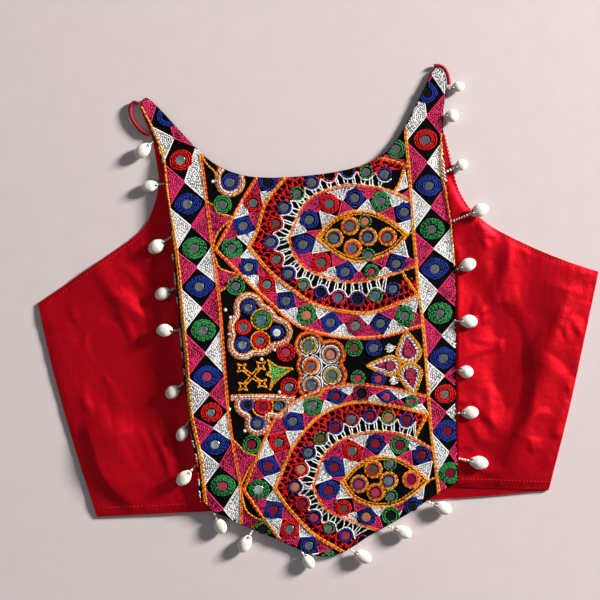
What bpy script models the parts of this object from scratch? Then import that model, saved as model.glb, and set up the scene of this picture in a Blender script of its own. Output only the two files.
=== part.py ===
"""A choli blouse laid flat, face up: an embroidered front panel with its straps cut in one, two plain side
fronts tucked under it, a plain back in two lapped halves, a tie loop at each strap tip and cowrie drops on
beaded threads round the panel's edge.

Frame: the blouse lies on a level surface at Z = 0. +Y runs from the hem to the neck, +X to the wearer's left.
The origin is the middle of its outline, on the surface. Tables and sizes are in millimetres.
"""

import math
from collections import namedtuple

import bmesh
import bpy
from mathutils import Vector

MM = 0.001

# Cloth, seams and air
COTTON = 1.0  # wall of the plain cotton, with its turnings
PANEL = 2.0  # wall of the embroidered panel on its ground cloth
SEAM_GAP = 0.3  # between pieces that touch
LAYER = COTTON + SEAM_GAP  # one layer of cotton under another
HELD_UP = 3.0  # the front stays up this far past the back's edges
DRAPE_TOP = 30.0  # and comes down over this length past the back's top edge
DRAPE_HEM = 14.0  # and over this length past its hem
PANEL_AIR = 0.35  # more air under the panel, where the folds below are steep
PANEL_FLOOR_GAP = 0.2  # under the point of the panel, past the hem of the layers below it

# The panel lies a little crowned on the air under it
CROWN = 6.0
CROWN_X, CROWN_Y = -2.0, -30.0
CROWN_HALF_WIDTH, CROWN_HALF_LENGTH = 115.0, 178.0

# Faces of the cloth grids, each way. "STEPS_BETWEEN" counts them between two rows of a table.
PANEL_STEPS_BETWEEN_COLUMNS = 2
SIDE_STEPS_BETWEEN_ROWS = 2  # one more than this below the corner row, where the rows are farther apart
SIDE_STEPS_ACROSS = 15
BACK_STEPS_BETWEEN_COLUMNS = 4
BACK_STEPS_UP = 4

# The panel: columns from the wearer's right edge to the left one, each from the pointed hem up to the neck
PanelColumn = namedtuple("PanelColumn", "hem_x hem_y neck_x neck_y")
PANEL_COLUMNS = [
    PanelColumn(-89.7, -144.3, -137.7, 167.3),
    PanelColumn(-87.0, -148.5, -135.3, 169.6),
    PanelColumn(-81.8, -153.0, -131.0, 168.2),
    PanelColumn(-73.4, -156.9, -121.0, 158.4),
    PanelColumn(-62.3, -162.1, -107.6, 143.6),
    PanelColumn(-50.6, -167.0, -93.6, 128.8),
    PanelColumn(-40.8, -171.2, -81.9, 118.8),
    PanelColumn(-29.7, -176.0, -68.6, 112.0),
    PanelColumn(-16.6, -182.3, -53.0, 108.0),
    PanelColumn(-0.3, -188.6, -33.5, 107.0),
    PanelColumn(19.3, -185.8, -10.1, 108.4),
    PanelColumn(38.8, -173.0, 13.3, 111.4),
    PanelColumn(55.1, -163.6, 32.8, 116.2),
    PanelColumn(68.2, -156.0, 48.4, 123.6),
    PanelColumn(76.6, -150.4, 58.5, 132.6),
    PanelColumn(84.5, -144.9, 67.9, 147.4),
    PanelColumn(91.5, -140.6, 76.4, 163.8),
    PanelColumn(97.5, -137.0, 83.5, 177.8),
    PanelColumn(103.0, -134.0, 87.8, 187.6),
    PanelColumn(107.6, -131.0, 91.8, 192.8),
    PanelColumn(109.2, -126.4, 97.3, 191.3),
]

# The panel's side edges, from the hem up to the strap tips
PanelRow = namedtuple("PanelRow", "right_x right_y left_x left_y")
PANEL_ROWS = [
    PanelRow(-89.7, -144.3, 109.2, -126.4),
    PanelRow(-92.0, -128.7, 107.9, -105.3),
    PanelRow(-97.5, -97.5, 107.6, -66.3),
    PanelRow(-103.0, -58.5, 107.6, -27.3),
    PanelRow(-105.0, -39.0, 107.6, -8.0),
    PanelRow(-106.5, -19.5, 107.6, 9.0),
    PanelRow(-108.0, 0.0, 107.4, 26.0),
    PanelRow(-109.2, 19.5, 106.9, 42.9),
    PanelRow(-111.5, 46.8, 104.5, 72.5),
    PanelRow(-115.4, 74.1, 101.0, 95.9),
    PanelRow(-117.8, 93.6, 98.7, 117.0),
    PanelRow(-120.9, 117.0, 97.5, 136.5),
    PanelRow(-125.6, 132.6, 97.9, 159.9),
    PanelRow(-131.8, 148.2, 100.4, 175.5),
    PanelRow(-138.6, 161.5, 99.8, 184.9),
    PanelRow(-137.7, 167.3, 97.3, 191.3),
]

# A side front: rows from the strap down to the hem, each from its free edge in to the edge under the panel.
# The free edge is the armhole down to the corner row, and the side seam below it.
SideRow = namedtuple("SideRow", "free_x free_y tucked_x tucked_y corner", defaults=(False,))
RIGHT_SIDE = [
    SideRow(-138.3, 160.6, -135.2, 160.6),
    SideRow(-135.3, 152.1, -128.7, 153.0),
    SideRow(-130.3, 140.4, -119.3, 141.5),
    SideRow(-127.9, 128.7, -113.1, 130.0),
    SideRow(-125.2, 113.1, -109.2, 115.0),
    SideRow(-124.6, 99.8, -106.9, 97.5),
    SideRow(-129.5, 81.9, -104.5, 78.0),
    SideRow(-138.1, 66.3, -102.2, 58.5),
    SideRow(-154.4, 53.8, -99.8, 41.3),
    SideRow(-177.8, 37.4, -96.7, 21.4),
    SideRow(-219.2, 9.0, -93.6, -5.9, True),
    SideRow(-207.5, -42.9, -89.7, -50.7),
    SideRow(-191.1, -101.4, -82.7, -100.5),
    SideRow(-172.8, -158.0, -72.5, -152.9),
]
LEFT_SIDE = [
    SideRow(98.8, 174.0, 93.6, 174.0),
    SideRow(97.2, 164.5, 89.7, 165.5),
    SideRow(96.8, 153.7, 86.2, 154.5),
    SideRow(98.3, 143.5, 85.8, 144.3),
    SideRow(101.8, 128.7, 87.4, 128.7),
    SideRow(105.3, 113.1, 88.1, 111.5),
    SideRow(110.0, 97.5, 89.7, 93.6),
    SideRow(117.0, 85.8, 91.3, 78.0),
    SideRow(127.9, 74.9, 92.8, 62.4),
    SideRow(142.0, 65.5, 93.6, 46.8),
    SideRow(169.3, 52.3, 95.2, 25.4),
    SideRow(196.6, 41.3, 95.2, 3.9),
    SideRow(219.6, 33.9, 95.2, -15.6, True),
    SideRow(209.0, -15.6, 95.2, -54.6),
    SideRow(196.6, -74.1, 95.2, -93.6),
    SideRow(180.6, -136.9, 93.6, -133.8),
]

# The back band, in columns from the wearer's right side seam to the left one
BackColumn = namedtuple("BackColumn", "top_x top_y hem_x hem_y")
BACK_COLUMNS = [
    BackColumn(-218.4, 8.2, -172.4, -157.2),
    BackColumn(-162.0, -8.0, -122.0, -154.6),
    BackColumn(-92.0, -19.5, -68.0, -152.2),
    BackColumn(3.0, -23.4, 3.0, -149.2),
    BackColumn(96.0, -12.5, 84.0, -145.2),
    BackColumn(160.0, 7.5, 132.0, -141.8),
    BackColumn(218.8, 33.1, 180.2, -137.3),
]
BACK_CENTRE = 3  # the column at the centre back, where the two halves lap
LAP = 10.0  # each half runs this far past the centre
LAP_CLEAR = 2.0  # the upper half stays up this far past the lower one's edge
LAP_STEP = 16.0  # and comes down over this length
LAP_STEP_SHARES = [0.0, 0.35, 0.7, 1.1]  # where its columns stand along that length

SEAM_FLAT = 18.0  # folds die out this close to the side seams

# Folds of the side fronts: a soft ridge along each line, with its half width and its height
Fold = namedtuple("Fold", "x1 y1 x2 y2 half_width height")
FOLDS = [
    # wearer's left side front
    Fold(190.0, 12.0, 177.0, -30.0, 12.0, 4.5),
    Fold(177.0, -30.0, 150.0, -112.0, 13.0, 4.0),
    Fold(126.0, 48.0, 144.0, 8.0, 8.0, 3.0),
    Fold(144.0, 8.0, 124.0, -6.0, 8.0, 2.0),
    Fold(123.0, 76.0, 140.0, 46.0, 8.0, 2.2),
    Fold(112.0, -30.0, 146.0, -24.0, 8.0, 2.0),
    Fold(124.0, -52.0, 138.0, -84.0, 8.0, 2.4),
    # wearer's right side front
    Fold(-176.0, 34.0, -128.0, -4.0, 11.0, 4.0),
    Fold(-187.0, -22.0, -160.0, -70.0, 12.0, 3.6),
    Fold(-168.0, -86.0, -124.0, -132.0, 13.0, 4.2),
    Fold(-118.0, -92.0, -112.0, -126.0, 8.0, 2.2),
    Fold(-140.0, 6.0, -128.0, -40.0, 10.0, 2.0),
]

# Tie loops of turned cotton tube: points along the middle of each, in plan
LOOP_RADIUS = 1.5
LOOP_STEPS_BETWEEN_POINTS = 4
LoopPoint = namedtuple("LoopPoint", "x y")
RIGHT_LOOP = [
    LoopPoint(-140.6, 165.2),
    LoopPoint(-142.8, 166.9),
    LoopPoint(-145.6, 166.0),
    LoopPoint(-147.4, 161.5),
    LoopPoint(-146.8, 156.0),
    LoopPoint(-144.2, 150.6),
    LoopPoint(-140.4, 146.0),
    LoopPoint(-136.6, 142.6),
    LoopPoint(-134.0, 141.4),
    LoopPoint(-131.7, 141.6),
]
LEFT_LOOP = [
    LoopPoint(90.8, 194.8),
    LoopPoint(94.2, 195.5),
    LoopPoint(98.4, 193.8),
    LoopPoint(101.0, 189.8),
    LoopPoint(102.2, 185.4),
    LoopPoint(102.6, 180.2),
]

# Cowrie drops: where the thread leaves the edge, the shell's middle, its length and its width.
# The threads leave the panel's edge, but for one on the edge of the side front's strip along the strap.
Drop = namedtuple("Drop", "edge_x edge_y shell_x shell_y length width on_strip", defaults=(False,))
DROPS = [
    Drop(-129.4, 135.0, -136.6, 128.4, 15.2, 10.6, True),
    Drop(-118.9, 103.0, -131.2, 100.6, 13.4, 9.6),
    Drop(-113.6, 61.6, -125.7, 53.6, 14.8, 11.0),
    Drop(-109.4, 21.8, -120.9, 16.8, 13.2, 10.2),
    Drop(-107.2, -11.7, -119.0, -11.9, 13.4, 10.4),
    Drop(-103.7, -52.3, -113.1, -59.8, 12.8, 10.4),
    Drop(-100.8, -82.4, -105.6, -92.2, 13.2, 9.4),
    Drop(-94.3, -116.2, -104.1, -126.4, 14.4, 10.4),
    Drop(-81.5, -153.4, -76.4, -164.4, 14.0, 10.0),
    Drop(-50.7, -167.1, -56.9, -178.6, 15.2, 10.4),
    Drop(-13.2, -184.5, -7.6, -192.4, 12.8, 9.4),
    Drop(24.6, -182.9, 34.9, -188.6, 15.0, 10.4),
    Drop(53.8, -164.7, 66.2, -169.4, 15.2, 10.2),
    Drop(84.6, -145.2, 97.3, -150.6, 15.0, 10.6),
    Drop(108.4, -111.8, 125.2, -115.0, 15.2, 10.8),
    Drop(107.6, -76.7, 118.4, -76.1, 13.6, 10.4),
    Drop(107.6, -42.6, 115.2, -44.2, 11.8, 10.2),
    Drop(107.6, -4.7, 117.2, -5.0, 14.0, 10.8),
    Drop(107.0, 35.1, 116.6, 39.0, 14.0, 10.6),
    Drop(104.6, 72.9, 125.8, 81.6, 14.6, 10.8),
    Drop(99.3, 111.5, 111.8, 117.0, 10.8, 8.8),
    Drop(97.8, 155.6, 104.4, 155.4, 11.0, 10.4),
    Drop(100.5, 176.4, 109.2, 178.2, 10.6, 8.4),
]
DROP_SIDES = 8
BEAD_RADIUS = 1.1
BEAD_RADIUS_SHARE = 0.65  # of the room a bead has along the thread, where that is short
THREAD_RADIUS = 0.45
THREAD_TIP_RADIUS = 0.27
THREAD_START = 0.55  # from the panel's edge to the end of the thread
THREAD_TIP = 0.15  # length of the thread's tapered end
THREAD_BARE = 1.1  # from the panel's edge to the first bead
DROP_AIR = 0.5  # under a drop, over the cloth it lies on
SHELL_HEIGHT_SHARE = 0.62  # a cowrie's height, as a share of its width
DROP_REST_SHARES = (-1.2, -0.6, 0.0, 0.6, 1.2)  # where the cloth under a drop is felt for, across it
# A bead's girth along its stretch of thread, and the bare thread after it
BeadRing = namedtuple("BeadRing", "along girth")
BEAD_RINGS = [BeadRing(0.22, 0.8), BeadRing(0.72, 0.8)]
BEAD_END = 0.98
# A cowrie's girth along its length, from the drilled end
ShellRing = namedtuple("ShellRing", "along girth")
SHELL_RINGS = [
    ShellRing(0.05, 0.36),
    ShellRing(0.17, 0.68),
    ShellRing(0.36, 0.94),
    ShellRing(0.56, 1.0),
    ShellRing(0.76, 0.87),
    ShellRing(0.92, 0.54),
]


def clear_scene():
    for obj in list(bpy.data.objects):
        bpy.data.objects.remove(obj, do_unlink=True)


def smooth_step(low, high, value):
    share = min(1.0, max(0.0, (value - low) / (high - low)))
    return share * share * (3 - 2 * share)


def smooth_rows(rows, steps):
    """Rows with steps - 1 more between each two, on a curve that runs through them all."""
    found = []
    last = len(rows) - 1
    for i in range(last):
        before, here, there, after = rows[max(i - 1, 0)], rows[i], rows[i + 1], rows[min(i + 2, last)]
        for step in range(steps):
            t = step / steps
            found.append(
                tuple(
                    b + 0.5 * t * (c - a + t * (2 * a - 5 * b + 4 * c - d + t * (3 * (b - c) + d - a)))
                    for a, b, c, d in zip(before, here, there, after)
                )
            )
    found.append(tuple(rows[last]))
    return found


def at(values, places, place):
    """The value at a place on a polyline of values over rising places."""
    for i in range(len(places) - 1):
        if place <= places[i + 1] or i == len(places) - 2:
            share = (place - places[i]) / (places[i + 1] - places[i])
            share = min(1.0, max(0.0, share))
            return values[i] + share * (values[i + 1] - values[i])


BACK_TOP_X = [c.top_x for c in BACK_COLUMNS]
BACK_TOP_Y = [c.top_y for c in BACK_COLUMNS]
BACK_HEM_X = [c.hem_x for c in BACK_COLUMNS]
BACK_HEM_Y = [c.hem_y for c in BACK_COLUMNS]


def over_back(x, y):
    """1 over the back band, falling to 0 where the front has come down past its top edge or its hem."""
    above = y - at(BACK_TOP_Y, BACK_TOP_X, x)
    below = at(BACK_HEM_Y, BACK_HEM_X, x) - y
    past_top = smooth_step(HELD_UP, HELD_UP + DRAPE_TOP, above)
    past_hem = smooth_step(HELD_UP, HELD_UP + DRAPE_HEM, below)
    return (1 - past_top) * (1 - past_hem)


def crown(x, y):
    across = max(0.0, 1 - ((x - CROWN_X) / CROWN_HALF_WIDTH) ** 2)
    along = max(0.0, 1 - ((y - CROWN_Y) / CROWN_HALF_LENGTH) ** 2)
    return CROWN * across * along


def fold_height(x, y):
    total = 0.0
    for fold in FOLDS:
        along_x, along_y = fold.x2 - fold.x1, fold.y2 - fold.y1
        length = math.hypot(along_x, along_y)
        share = ((x - fold.x1) * along_x + (y - fold.y1) * along_y) / length**2
        aside = ((x - fold.x1) * along_y - (y - fold.y1) * along_x) / length
        past = max(0.0, -share, share - 1) * length
        reach = math.hypot(aside, past) / fold.half_width
        total += fold.height * math.exp(-reach * reach)
    return total


def seam_below_corner(table):
    """The side seam of a side front, as places up it and the X at each."""
    corner = [row.corner for row in table].index(True)
    seam = table[corner:][::-1]
    return [row.free_x for row in seam], [row.free_y for row in seam]


RIGHT_SEAM_X, RIGHT_SEAM_Y = seam_below_corner(RIGHT_SIDE)
LEFT_SEAM_X, LEFT_SEAM_Y = seam_below_corner(LEFT_SIDE)


def off_seams(x, y):
    """0 at the side seams, where front and back are sewn together, and 1 away from them."""
    inside_right = x - at(RIGHT_SEAM_X, RIGHT_SEAM_Y, y)
    inside_left = at(LEFT_SEAM_X, LEFT_SEAM_Y, y) - x
    return smooth_step(0.0, SEAM_FLAT, min(inside_right, inside_left))


def side_rise(x, y):
    """Height of the underside of the side fronts, over the surface."""
    return LAYER * over_back(x, y) + crown(x, y) + fold_height(x, y) * off_seams(x, y)


def panel_rise(x, y):
    """Height of the panel's underside: just over the side fronts, and down on the surface past the hem."""
    below = at(BACK_HEM_Y, BACK_HEM_X, x) - y
    past_hem = smooth_step(HELD_UP, HELD_UP + DRAPE_HEM, below)
    layer = LAYER + PANEL_AIR
    return side_rise(x, y) + layer + (PANEL_FLOOR_GAP - layer) * past_hem


def make_material(name, colour, roughness, sheen=0.0):
    material = bpy.data.materials.new(name)
    material.use_nodes = True
    shader = material.node_tree.nodes["Principled BSDF"]
    shader.inputs["Base Color"].default_value = (*colour, 1.0)
    shader.inputs["Roughness"].default_value = roughness
    shader.inputs["Metallic"].default_value = 0.0
    shader.inputs["Sheen Weight"].default_value = sheen
    return material


def finish(obj, name, material, collection):
    obj.name = name
    obj.data.name = name
    obj.data.materials.clear()
    obj.data.materials.append(material)
    for other in list(obj.users_collection):
        other.objects.unlink(obj)
    collection.objects.link(obj)


def add_sheet(name, points, thickness, material, collection):
    """A wall of cloth: a grid whose underside runs through the points, given as rows of (x, y, z)."""
    rows, columns = len(points), len(points[0])
    bpy.ops.mesh.primitive_grid_add(x_subdivisions=columns - 1, y_subdivisions=rows - 1, size=1.0)
    sheet = bpy.context.object
    for i, vertex in enumerate(sheet.data.vertices):
        vertex.co = Vector(points[i // columns][i % columns]) * MM
    wall = sheet.modifiers.new("wall", "SOLIDIFY")
    wall.thickness = thickness * MM
    wall.offset = 1.0
    finish(sheet, name, material, collection)


def panel_points():
    """The panel's grid: the columns blended between its side edges, row by row from the hem to the neck."""
    columns = smooth_rows(PANEL_COLUMNS, PANEL_STEPS_BETWEEN_COLUMNS)
    first, last = PANEL_COLUMNS[0], PANEL_COLUMNS[-1]
    points = []
    for edge in PANEL_ROWS:
        up_right = (edge.right_y - first.hem_y) / (first.neck_y - first.hem_y)
        up_left = (edge.left_y - last.hem_y) / (last.neck_y - last.hem_y)
        row = []
        for i, column in enumerate(PanelColumn(*c) for c in columns):
            across = i / (len(columns) - 1)
            up = up_right + across * (up_left - up_right)
            bow_right = edge.right_x - (first.hem_x + up_right * (first.neck_x - first.hem_x))
            bow_left = edge.left_x - (last.hem_x + up_left * (last.neck_x - last.hem_x))
            x = column.hem_x + up * (column.neck_x - column.hem_x)
            x += (1 - across) * bow_right + across * bow_left
            y = column.hem_y + up * (column.neck_y - column.hem_y)
            row.append((x, y, panel_rise(x, y)))
        points.append(row)
    return points


def side_points(table, free_edge_first):
    """A side front's grid, row by row from the hem up to the strap, with X rising along each row.

    The smooth curves stop at the corner row and start again from it, so the corner stays sharp.
    """
    corner = [row.corner for row in table].index(True)
    bare = [row[:4] for row in table]
    above = smooth_rows(bare[: corner + 1], SIDE_STEPS_BETWEEN_ROWS)
    below = smooth_rows(bare[corner:], SIDE_STEPS_BETWEEN_ROWS + 1)
    rows = above[:-1] + below
    points = []
    for free_x, free_y, tucked_x, tucked_y in reversed(rows):
        row = []
        for i in range(SIDE_STEPS_ACROSS + 1):
            share = i / SIDE_STEPS_ACROSS
            x = free_x + share * (tucked_x - free_x)
            y = free_y + share * (tucked_y - free_y)
            row.append((x, y, side_rise(x, y)))
        points.append(row if free_edge_first else row[::-1])
    return points


def back_points(columns, lifted_to=None):
    """A half of the back, flat on the surface. Up to the X of lifted_to it lies on the other half."""
    rows = []
    for step in range(BACK_STEPS_UP + 1):
        up = step / BACK_STEPS_UP
        row = []
        for top_x, top_y, hem_x, hem_y in columns:
            x = hem_x + up * (top_x - hem_x)
            lift = 0.0
            if lifted_to is not None:
                lift = LAYER * (1 - smooth_step(lifted_to, lifted_to + LAP_STEP, x))
            row.append((x, hem_y + up * (top_y - hem_y), lift))
        rows.append(row)
    return rows


def shifted(column, by):
    """A back column moved along the band, with its edges on the band's own slopes."""
    top_x, hem_x = column.top_x + by, column.hem_x + by
    return (top_x, at(BACK_TOP_Y, BACK_TOP_X, top_x), hem_x, at(BACK_HEM_Y, BACK_HEM_X, hem_x))


def add_back(material, collection):
    """The two halves of the back, the wearer's left one lapped over the right one."""
    centre = BACK_COLUMNS[BACK_CENTRE]
    right = BACK_COLUMNS[:BACK_CENTRE] + [BackColumn(*shifted(centre, LAP))]
    right = smooth_rows(right, BACK_STEPS_BETWEEN_COLUMNS)
    add_sheet("back_right", back_points(right), COTTON, material, collection)
    lifted_past_centre = LAP + LAP_CLEAR
    lap = [shifted(centre, -LAP)]
    lap += [shifted(centre, lifted_past_centre + share * LAP_STEP) for share in LAP_STEP_SHARES]
    left = lap + smooth_rows(BACK_COLUMNS[BACK_CENTRE + 1:], BACK_STEPS_BETWEEN_COLUMNS)
    lifted_to = centre.hem_x + lifted_past_centre
    add_sheet("back_left", back_points(left, lifted_to), COTTON, material, collection)


def add_loop(name, points, material, collection):
    """A tie loop, as a round tube lying on the surface."""
    route = smooth_rows(points, LOOP_STEPS_BETWEEN_POINTS)
    curve = bpy.data.curves.new(name, "CURVE")
    curve.dimensions = "3D"
    spline = curve.splines.new("POLY")
    spline.points.add(len(route) - 1)
    for point, (x, y) in zip(spline.points, route):
        point.co = (x * MM, y * MM, (LOOP_RADIUS + SEAM_GAP) * MM, 1.0)
    curve.bevel_depth = LOOP_RADIUS * MM
    curve.bevel_resolution = 1
    curve.use_fill_caps = True
    loop = bpy.data.objects.new(name, curve)
    bpy.context.scene.collection.objects.link(loop)
    finish(loop, name, material, collection)


def over_side_front(x, y):
    """Whether a point in plan is inside either side front's outline."""
    for table in (RIGHT_SIDE, LEFT_SIDE):
        outline = [(row.free_x, row.free_y) for row in table]
        outline += [(row.tucked_x, row.tucked_y) for row in reversed(table)]
        inside = False
        for (x1, y1), (x2, y2) in zip(outline, outline[1:] + outline[:1]):
            if (y1 > y) != (y2 > y) and x < x1 + (y - y1) / (y2 - y1) * (x2 - x1):
                inside = not inside
        if inside:
            return True
    return False


def cloth_top(x, y):
    """Height of what a drop lies on: a side front where there is one, or the surface."""
    return side_rise(x, y) + COTTON if over_side_front(x, y) else 0.0


class DropLine:
    """A drop's line in plan, from the panel's edge through the shell."""

    def __init__(self, drop):
        self.drop = drop
        self.reach = math.hypot(drop.shell_x - drop.edge_x, drop.shell_y - drop.edge_y)
        self.along = Vector((drop.shell_x - drop.edge_x, drop.shell_y - drop.edge_y)) / self.reach
        self.across = Vector((-self.along.y, self.along.x))
        self.stem = self.reach - drop.length / 2  # thread and beads, up to the shell
        self.end = self.reach + drop.length / 2

    def place(self, along, across=0.0):
        return Vector((self.drop.edge_x, self.drop.edge_y)) + along * self.along + across * self.across

    def rests_at(self, along, half_width):
        """The highest thing under the drop there, felt for across its width."""
        places = [self.place(along, share * half_width) for share in DROP_REST_SHARES]
        return max(cloth_top(place.x, place.y) for place in places) + DROP_AIR


def drop_rings(line):
    """Rings along a drop, as (along, half width, half height): beads on the thread, then the shell."""
    room = line.stem - THREAD_BARE
    beads = max(1, round(room / (2 * BEAD_RADIUS)))
    pitch = room / beads
    bead_radius = min(BEAD_RADIUS, BEAD_RADIUS_SHARE * pitch)
    rings = [(THREAD_START + THREAD_TIP, THREAD_TIP_RADIUS, THREAD_TIP_RADIUS)]
    for i in range(beads):
        start = THREAD_BARE + i * pitch
        for ring in BEAD_RINGS:
            rings.append((start + ring.along * pitch, ring.girth * bead_radius, ring.girth * bead_radius))
        rings.append((start + BEAD_END * pitch, THREAD_RADIUS, THREAD_RADIUS))
    for ring in SHELL_RINGS:
        half = ring.girth * line.drop.width / 2
        rings.append((line.stem + ring.along * line.drop.length, half, half * SHELL_HEIGHT_SHARE))
    return rings


def add_drop(name, drop, material, collection):
    """A cowrie on its beaded thread, shaped from a sphere's rings and laid on what is under it."""
    line = DropLine(drop)
    rings = drop_rings(line)
    shell = [ring for ring in rings if ring[0] > line.stem]
    shell_z = max(line.rests_at(along, half_width) + half_height for along, half_width, half_height in shell)
    edge_z = panel_rise(drop.edge_x, drop.edge_y) + PANEL / 2
    if drop.on_strip:
        edge_z = side_rise(drop.edge_x, drop.edge_y) + COTTON / 2
    sphere = bmesh.new()
    bmesh.ops.create_uvsphere(sphere, u_segments=DROP_SIDES, v_segments=len(rings) + 1, radius=1.0)
    levels = sorted({round(v.co.z, 5) for v in sphere.verts}, reverse=True)
    stations = [(THREAD_START, 0.0, 0.0)] + rings + [(line.end, 0.0, 0.0)]
    for vertex in sphere.verts:
        along, half_width, half_height = stations[levels.index(round(vertex.co.z, 5))]
        turn = Vector((vertex.co.x, vertex.co.y))
        if turn.length > 0:
            turn.normalize()
        place = line.place(along, -turn.x * half_width)
        z = shell_z
        if along < line.stem:
            z = edge_z + (shell_z - edge_z) * smooth_step(0.0, line.stem, along)
            z = max(z, line.rests_at(along, half_width) + BEAD_RADIUS)
        vertex.co = Vector((place.x, place.y, z + turn.y * half_height)) * MM
    mesh = bpy.data.meshes.new(name)
    sphere.to_mesh(mesh)
    sphere.free()
    mesh.shade_smooth()
    drop_object = bpy.data.objects.new(name, mesh)
    bpy.context.scene.collection.objects.link(drop_object)
    finish(drop_object, name, material, collection)


def main():
    clear_scene()
    blouse = bpy.data.collections.new("choli_blouse")
    bpy.context.scene.collection.children.link(blouse)
    materials = {
        "cotton": make_material("red_cotton", (0.50, 0.006, 0.012), 0.75, 0.3),
        "panel": make_material("embroidered_ground", (0.012, 0.012, 0.014), 0.8),
        "tube": make_material("turned_tube", (0.30, 0.004, 0.012), 0.7),
        "shell": make_material("cowrie", (0.78, 0.74, 0.66), 0.3),
    }
    add_back(materials["cotton"], blouse)
    add_sheet("side_front_right", side_points(RIGHT_SIDE, True), COTTON, materials["cotton"], blouse)
    add_sheet("side_front_left", side_points(LEFT_SIDE, False), COTTON, materials["cotton"], blouse)
    add_sheet("embroidered_panel", panel_points(), PANEL, materials["panel"], blouse)
    add_loop("tie_loop_right", RIGHT_LOOP, materials["tube"], blouse)
    add_loop("tie_loop_left", LEFT_LOOP, materials["tube"], blouse)
    for i, drop in enumerate(DROPS, 1):
        add_drop(f"cowrie_drop_{i:02d}", drop, materials["shell"], blouse)


main()
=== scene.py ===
# %% [markdown]
# # A choli blouse with mirror work, laid flat
# The blouse has a front panel of black cotton covered with mirror embroidery, plain red side fronts and back,
# two tie loops and a fringe of cowrie shells. The CAD frame gives every piece its place. This notebook
# dresses it: finer cloth over the solids, and the embroidery sewn on stitch by stitch.

# %% Load the frame
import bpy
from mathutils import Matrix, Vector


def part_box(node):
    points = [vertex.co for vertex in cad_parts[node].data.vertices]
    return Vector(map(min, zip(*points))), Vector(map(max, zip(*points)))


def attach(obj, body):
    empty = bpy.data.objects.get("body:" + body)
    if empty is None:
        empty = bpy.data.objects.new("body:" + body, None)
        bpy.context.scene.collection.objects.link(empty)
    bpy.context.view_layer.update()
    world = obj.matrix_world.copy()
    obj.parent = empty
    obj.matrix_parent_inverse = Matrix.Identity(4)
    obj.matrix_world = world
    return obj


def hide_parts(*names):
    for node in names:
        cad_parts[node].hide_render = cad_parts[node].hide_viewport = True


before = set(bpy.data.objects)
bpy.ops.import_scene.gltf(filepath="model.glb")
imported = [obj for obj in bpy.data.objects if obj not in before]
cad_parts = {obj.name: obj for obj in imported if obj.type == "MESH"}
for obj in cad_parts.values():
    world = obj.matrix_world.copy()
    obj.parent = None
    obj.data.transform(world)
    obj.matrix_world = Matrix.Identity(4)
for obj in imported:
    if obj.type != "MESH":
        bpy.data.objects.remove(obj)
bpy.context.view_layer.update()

import copy
import math
import random
from collections import namedtuple

import bmesh
import bpy
import numpy as np
from mathutils import Vector
from mathutils.bvhtree import BVHTree

MM = 0.001
random.seed(23)
scatter = np.random.default_rng(23)

# %% [markdown]
# ## Camera, light and floor
# A flat garment is shown from straight above. A long lens keeps its edges free of perspective. The light is
# one large soft source low on the right, so that it rakes over the folds, and a faint one on the left.

# %% Camera, light and floor
VIEW_WIDTH = 468.0  # mm across the view
VIEW_CENTRE = (-14.0, 11.7)
LENS, SENSOR = 85.0, 36.0
CLOTH_LEVEL = 5.0  # mm above the floor, where VIEW_WIDTH is measured


def add_camera():
    data = bpy.data.cameras.new("camera")
    data.lens, data.sensor_width = LENS, SENSOR
    camera = bpy.data.objects.new("camera", data)
    height = VIEW_WIDTH * LENS / SENSOR + CLOTH_LEVEL
    camera.location = (VIEW_CENTRE[0] * MM, VIEW_CENTRE[1] * MM, height * MM)
    bpy.context.scene.collection.objects.link(camera)
    bpy.context.scene.camera = camera


def add_softbox(name, place, size, watts, colour):
    data = bpy.data.lights.new(name, "AREA")
    data.shape, data.size, data.energy, data.color = "DISK", size, watts, colour
    light = bpy.data.objects.new(name, data)
    light.location = place
    light.rotation_euler = (-Vector(place)).to_track_quat("-Z", "Y").to_euler()
    bpy.context.scene.collection.objects.link(light)


def set_world(colour, strength):
    world = bpy.data.worlds.new("studio")
    bpy.context.scene.world = world
    world.use_nodes = True
    world.node_tree.nodes["Background"].inputs["Color"].default_value = (*colour, 1)
    world.node_tree.nodes["Background"].inputs["Strength"].default_value = strength


add_camera()
add_softbox("key", place=(3.3, 1.8, 1.25), size=0.8, watts=450, colour=(1.0, 0.975, 0.94))
add_softbox("fill", place=(-0.7, -0.3, 1.3), size=0.9, watts=1.0, colour=(0.94, 0.97, 1.0))
set_world(colour=(0.80, 0.82, 0.86), strength=0.185)
bpy.context.scene.view_settings.view_transform = "Standard"
print("camera at", [round(c, 3) for c in bpy.context.scene.camera.location], "m")

# %% [markdown]
# ## Helpers for materials and meshes
# Colours are given as sRGB hex values, as a dyer's card would, and turned to linear light once. One function
# adds a node, sets its inputs and links it. Meshes are modelled with operators, so everything is deselected
# before each one starts.

# %% Colours and nodes
def linear(hex_colour):
    parts = [int(hex_colour[i:i + 2], 16) / 255 for i in (1, 3, 5)]
    return tuple(p / 12.92 if p <= 0.04045 else ((p + 0.055) / 1.055) ** 2.4 for p in parts)


def add_node(material, kind, inputs=None, **settings):
    """Adds a node. inputs maps a socket to a value, or to another node's output to link it."""
    tree = material.node_tree
    node = tree.nodes.new(kind)
    for key, value in settings.items():
        setattr(node, key, value)
    for key, value in (inputs or {}).items():
        if isinstance(value, bpy.types.NodeSocket):
            tree.links.new(value, node.inputs[key])
        else:
            node.inputs[key].default_value = value
    return node


def new_material(name, **sockets):
    material = bpy.data.materials.new(name)
    material.use_nodes = True
    shader = material.node_tree.nodes["Principled BSDF"]
    for key, value in sockets.items():
        shader.inputs[key.replace("_", " ")].default_value = value
    return material, shader


def link(material, output, socket):
    material.node_tree.links.new(output, socket)


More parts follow.
